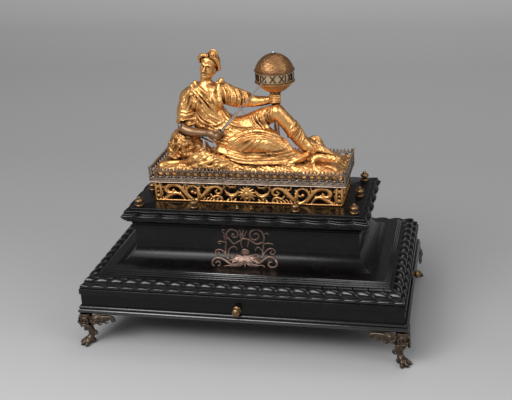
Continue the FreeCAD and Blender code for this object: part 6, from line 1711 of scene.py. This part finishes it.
def make_numerals():
    """The twelve hours, bent round the band; only numbers, in the dark of filled engraving."""
    heap = Heap()
    for k, sign in enumerate(NUMERALS):
        curve = bpy.data.curves.new("numeral", "FONT")
        curve.body, curve.size, curve.align_x = sign, 1.0, "CENTER"
        curve.extrude, curve.resolution_u = 0.0, 3
        shape = bpy.data.objects.new("numeral", curve)
        mesh = bpy.data.meshes.new_from_object(shape)
        form = bmesh.new()
        form.from_mesh(mesh)
        bmesh.ops.triangulate(form, faces=form.faces)
        bmesh.ops.subdivide_edges(form, edges=form.edges, cuts=1, use_grid_fill=True)
        bmesh.ops.triangulate(form, faces=form.faces)
        spots = np.array([v.co[:] for v in form.verts])
        faces = [tuple(v.index for v in f.verts) for f in form.faces]
        rim = [(e.verts[0].index, e.verts[1].index, e.link_faces[0])
               for e in form.edges if len(e.link_faces) == 1]
        edges = []
        for a, b, face in rim:
            order = [v.index for v in face.verts]
            edges.append((a, b) if (order.index(b) - order.index(a)) % len(order) == 1 else (b, a))
        form.free()
        wide, tall = np.ptp(spots[:, 0]), np.ptp(spots[:, 1])
        middle = (spots[:, 0].max() + spots[:, 0].min()) / 2
        width = min(wide / tall * NUMERAL_HEIGHT, NUMERAL_WIDEST)
        across = (spots[:, 0] - middle) / wide * width
        up = (spots[:, 1] - spots[:, 1].min()) / tall * NUMERAL_HEIGHT
        angle = FIRST_NUMERAL + k * math.pi / 6 + across / BAND_RADIUS
        layers = []
        for radius in (BAND_RADIUS - 0.25, BAND_RADIUS + NUMERAL_RISE - 0.15):
            layers.append(np.stack([GLOBE_CENTRE[0] + radius * np.cos(angle),
                                    GLOBE_CENTRE[1] + radius * np.sin(angle), NUMERAL_FOOT + up], axis=1))
        count = len(spots)
        heap.add(np.concatenate(layers),
                 [f[::-1] for f in faces] + [tuple(i + count for i in f) for f in faces]
                 + [(a, b, b + count, a + count) for a, b in edges])
    piece = heap.make("hour_numerals", 30)
    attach(piece, "hour_dial")
    piece.data.materials.append(FINISHES["dark_bronze"])


STEM = ((0.5, 235.4), (3.2, 235.4), (4.4, 235.8), (5.2, 237.2), (4.6, 238.8), (3.2, 239.6), (2.8, 240.4),
        (3.4, 241.2), (3.6, 242.4), (3.0, 243.6), (2.7, 244.6), (3.6, 245.2), (4.6, 245.8), (5.3, 246.9),
        (5.4, 248.0), (4.9, 248.4), (0.5, 248.4))


def make_stem():
    heap = Heap()
    lathe(heap, smooth_line(STEM, 3), (*GLOBE_CENTRE[:2], 0), segments=64)
    dress(heap.make("stem_cast", 50), "case", "globe_gilt", "globe_stem")


def make_globe():
    top = UPPER_LOW + RIM_HEIGHT
    first = math.asin((top - GLOBE_CENTRE[2]) / GLOBE_RADIUS)
    make_shell("globe_top", "globe_upper", first, math.pi / 2 - 0.03, UPPER_LOW, top, "globe_gilt")
    foot = LOWER_TOP - RIM_HEIGHT
    first = math.asin((foot - GLOBE_CENTRE[2]) / GLOBE_RADIUS)
    make_shell("globe_cup", "globe_lower", first, -math.pi / 2 + 0.03, foot, LOWER_TOP, "cup_gilt")
    make_hour_band()
    make_numerals()
    make_stem()


# stage, lights and camera

# greys of the sheet from front to back, as a share of the way from one depth to another, in metres; they
# paint the fall of light over the sheet: painted shade on the floor behind the clock, a painted brightening
# on the far bend, and painted shade toward the top
SHEET_DEPTHS, SHEET_HEIGHTS = (-0.25, 1.95), (0.3, 0.9)
SHEET_PAINTED_LIGHT_GREYS = ((0.02, 0.52), (0.09, 0.44), (0.20, 0.38), (0.34, 0.385), (0.6, 0.48), (0.85, 0.68),
               (1.0, 0.76))
SHEET_PAINTED_SHADE_TOP = (0.20, 0.20, 0.205)
ROOM = (0.26, 0.26, 0.27, 1)
# place, width, height and power, in metres and watts
LAMPS = {"key": ((-1.10, -1.10, 1.85), 1.4, 1.4, 17),
         "front": ((-0.50, -1.35, 1.35), 1.5, 0.55, 19),
         "side": ((1.55, -0.70, 1.25), 1.1, 1.1, 9),
         "top": ((0.35, 0.50, 1.75), 0.9, 0.9, 5)}
LAMPS_AIM = Vector((0, 0, 0.16))


def make_stage():
    """A seamless sheet: a pale floor that curves up behind the clock, with greys that paint light and shade
    over it.
    """
    front, start, bend, top, half = -2.4, 1.5, 0.9, 3.0, 4.0
    profile = [(front, 0.0), (start, 0.0)]
    profile += [(start + bend * math.sin(a), bend - bend * math.cos(a))
                for a in np.linspace(0.1, math.pi / 2, 14)]
    profile += [(start + bend, top)]
    points = np.array([(x, y, z) for y, z in profile for x in (-half, half)]) / MM
    sheet = make_object("sheet", points, rows_of_quads(len(profile), 2))
    f = Finish("sheet")
    # painted light and shade: greys by depth, blended into a darker painted shade toward the top
    painted_light_by_depth = f.ramp(f.between("Y", *SHEET_DEPTHS), *SHEET_PAINTED_LIGHT_GREYS)
    rise = f.ramp(f.between("Z", *SHEET_HEIGHTS), (0.0, 0.0), (1.0, 1.0))
    f.link(f.mix(rise, painted_light_by_depth, SHEET_PAINTED_SHADE_TOP), f.shader.inputs["Base Color"])
    value(f.shader, "Roughness", 0.9)
    value(f.shader, "Specular IOR Level", 0.1)
    sheet.data.materials.append(f.material)


def make_lamp(name, place, width, height, power):
    lamp = bpy.data.lights.new(name, "AREA")
    lamp.shape = "RECTANGLE"
    lamp.size, lamp.size_y, lamp.energy = width, height, power
    obj = bpy.data.objects.new(name, lamp)
    obj.location = place
    obj.rotation_euler = (LAMPS_AIM - Vector(place)).to_track_quat("-Z", "Y").to_euler()
    bpy.context.scene.collection.objects.link(obj)


def make_lights():
    world = bpy.data.worlds.new("room")
    bpy.context.scene.world = world
    world.use_nodes = True
    world.node_tree.nodes["Background"].inputs["Color"].default_value = ROOM
    for name, values in LAMPS.items():
        make_lamp(name, *values)


def make_camera():
    data = bpy.data.cameras.new("camera")
    data.lens, data.sensor_width = CAMERA_LENS, SENSOR
    camera = bpy.data.objects.new("camera", data)
    axes = Matrix([[*row] for row in np.stack([RIGHT, UP, -FORWARD], axis=1)])
    camera.matrix_world = Matrix.Translation(Vector(CAMERA_PLACE * MM)) @ axes.to_4x4()
    bpy.context.scene.collection.objects.link(camera)
    bpy.context.scene.camera = camera


def dress_nodes():
    """The nodes that still show get the finish of their own slot."""
    for name, obj in frame["nodes"].items():
        slot_name = slot_of[name]
        obj.data.materials.clear()
        obj.data.materials.append(FINISHES[slot_name])


slot_of = {piece["node"]: piece["material_slot"] for piece in frame["record"]["subparts"]}

make_camera()
dress_nodes()
make_bottom_moulding()
make_cornice()
make_plinth_waves()
make_plinth_top()
make_cove()
make_crown()
make_cap_waves()
make_cap_board()
make_finials()
make_knobs()
make_frieze()
make_lock_plate()
make_gallery()
make_deck()
make_feet()
sculpt_figure()
sculpt_head()
sculpt_forearm()
sculpt_mound()
sculpt_ground()
make_globe()
make_stage()
make_lights()
bpy.context.scene.view_settings.view_transform = "Standard"
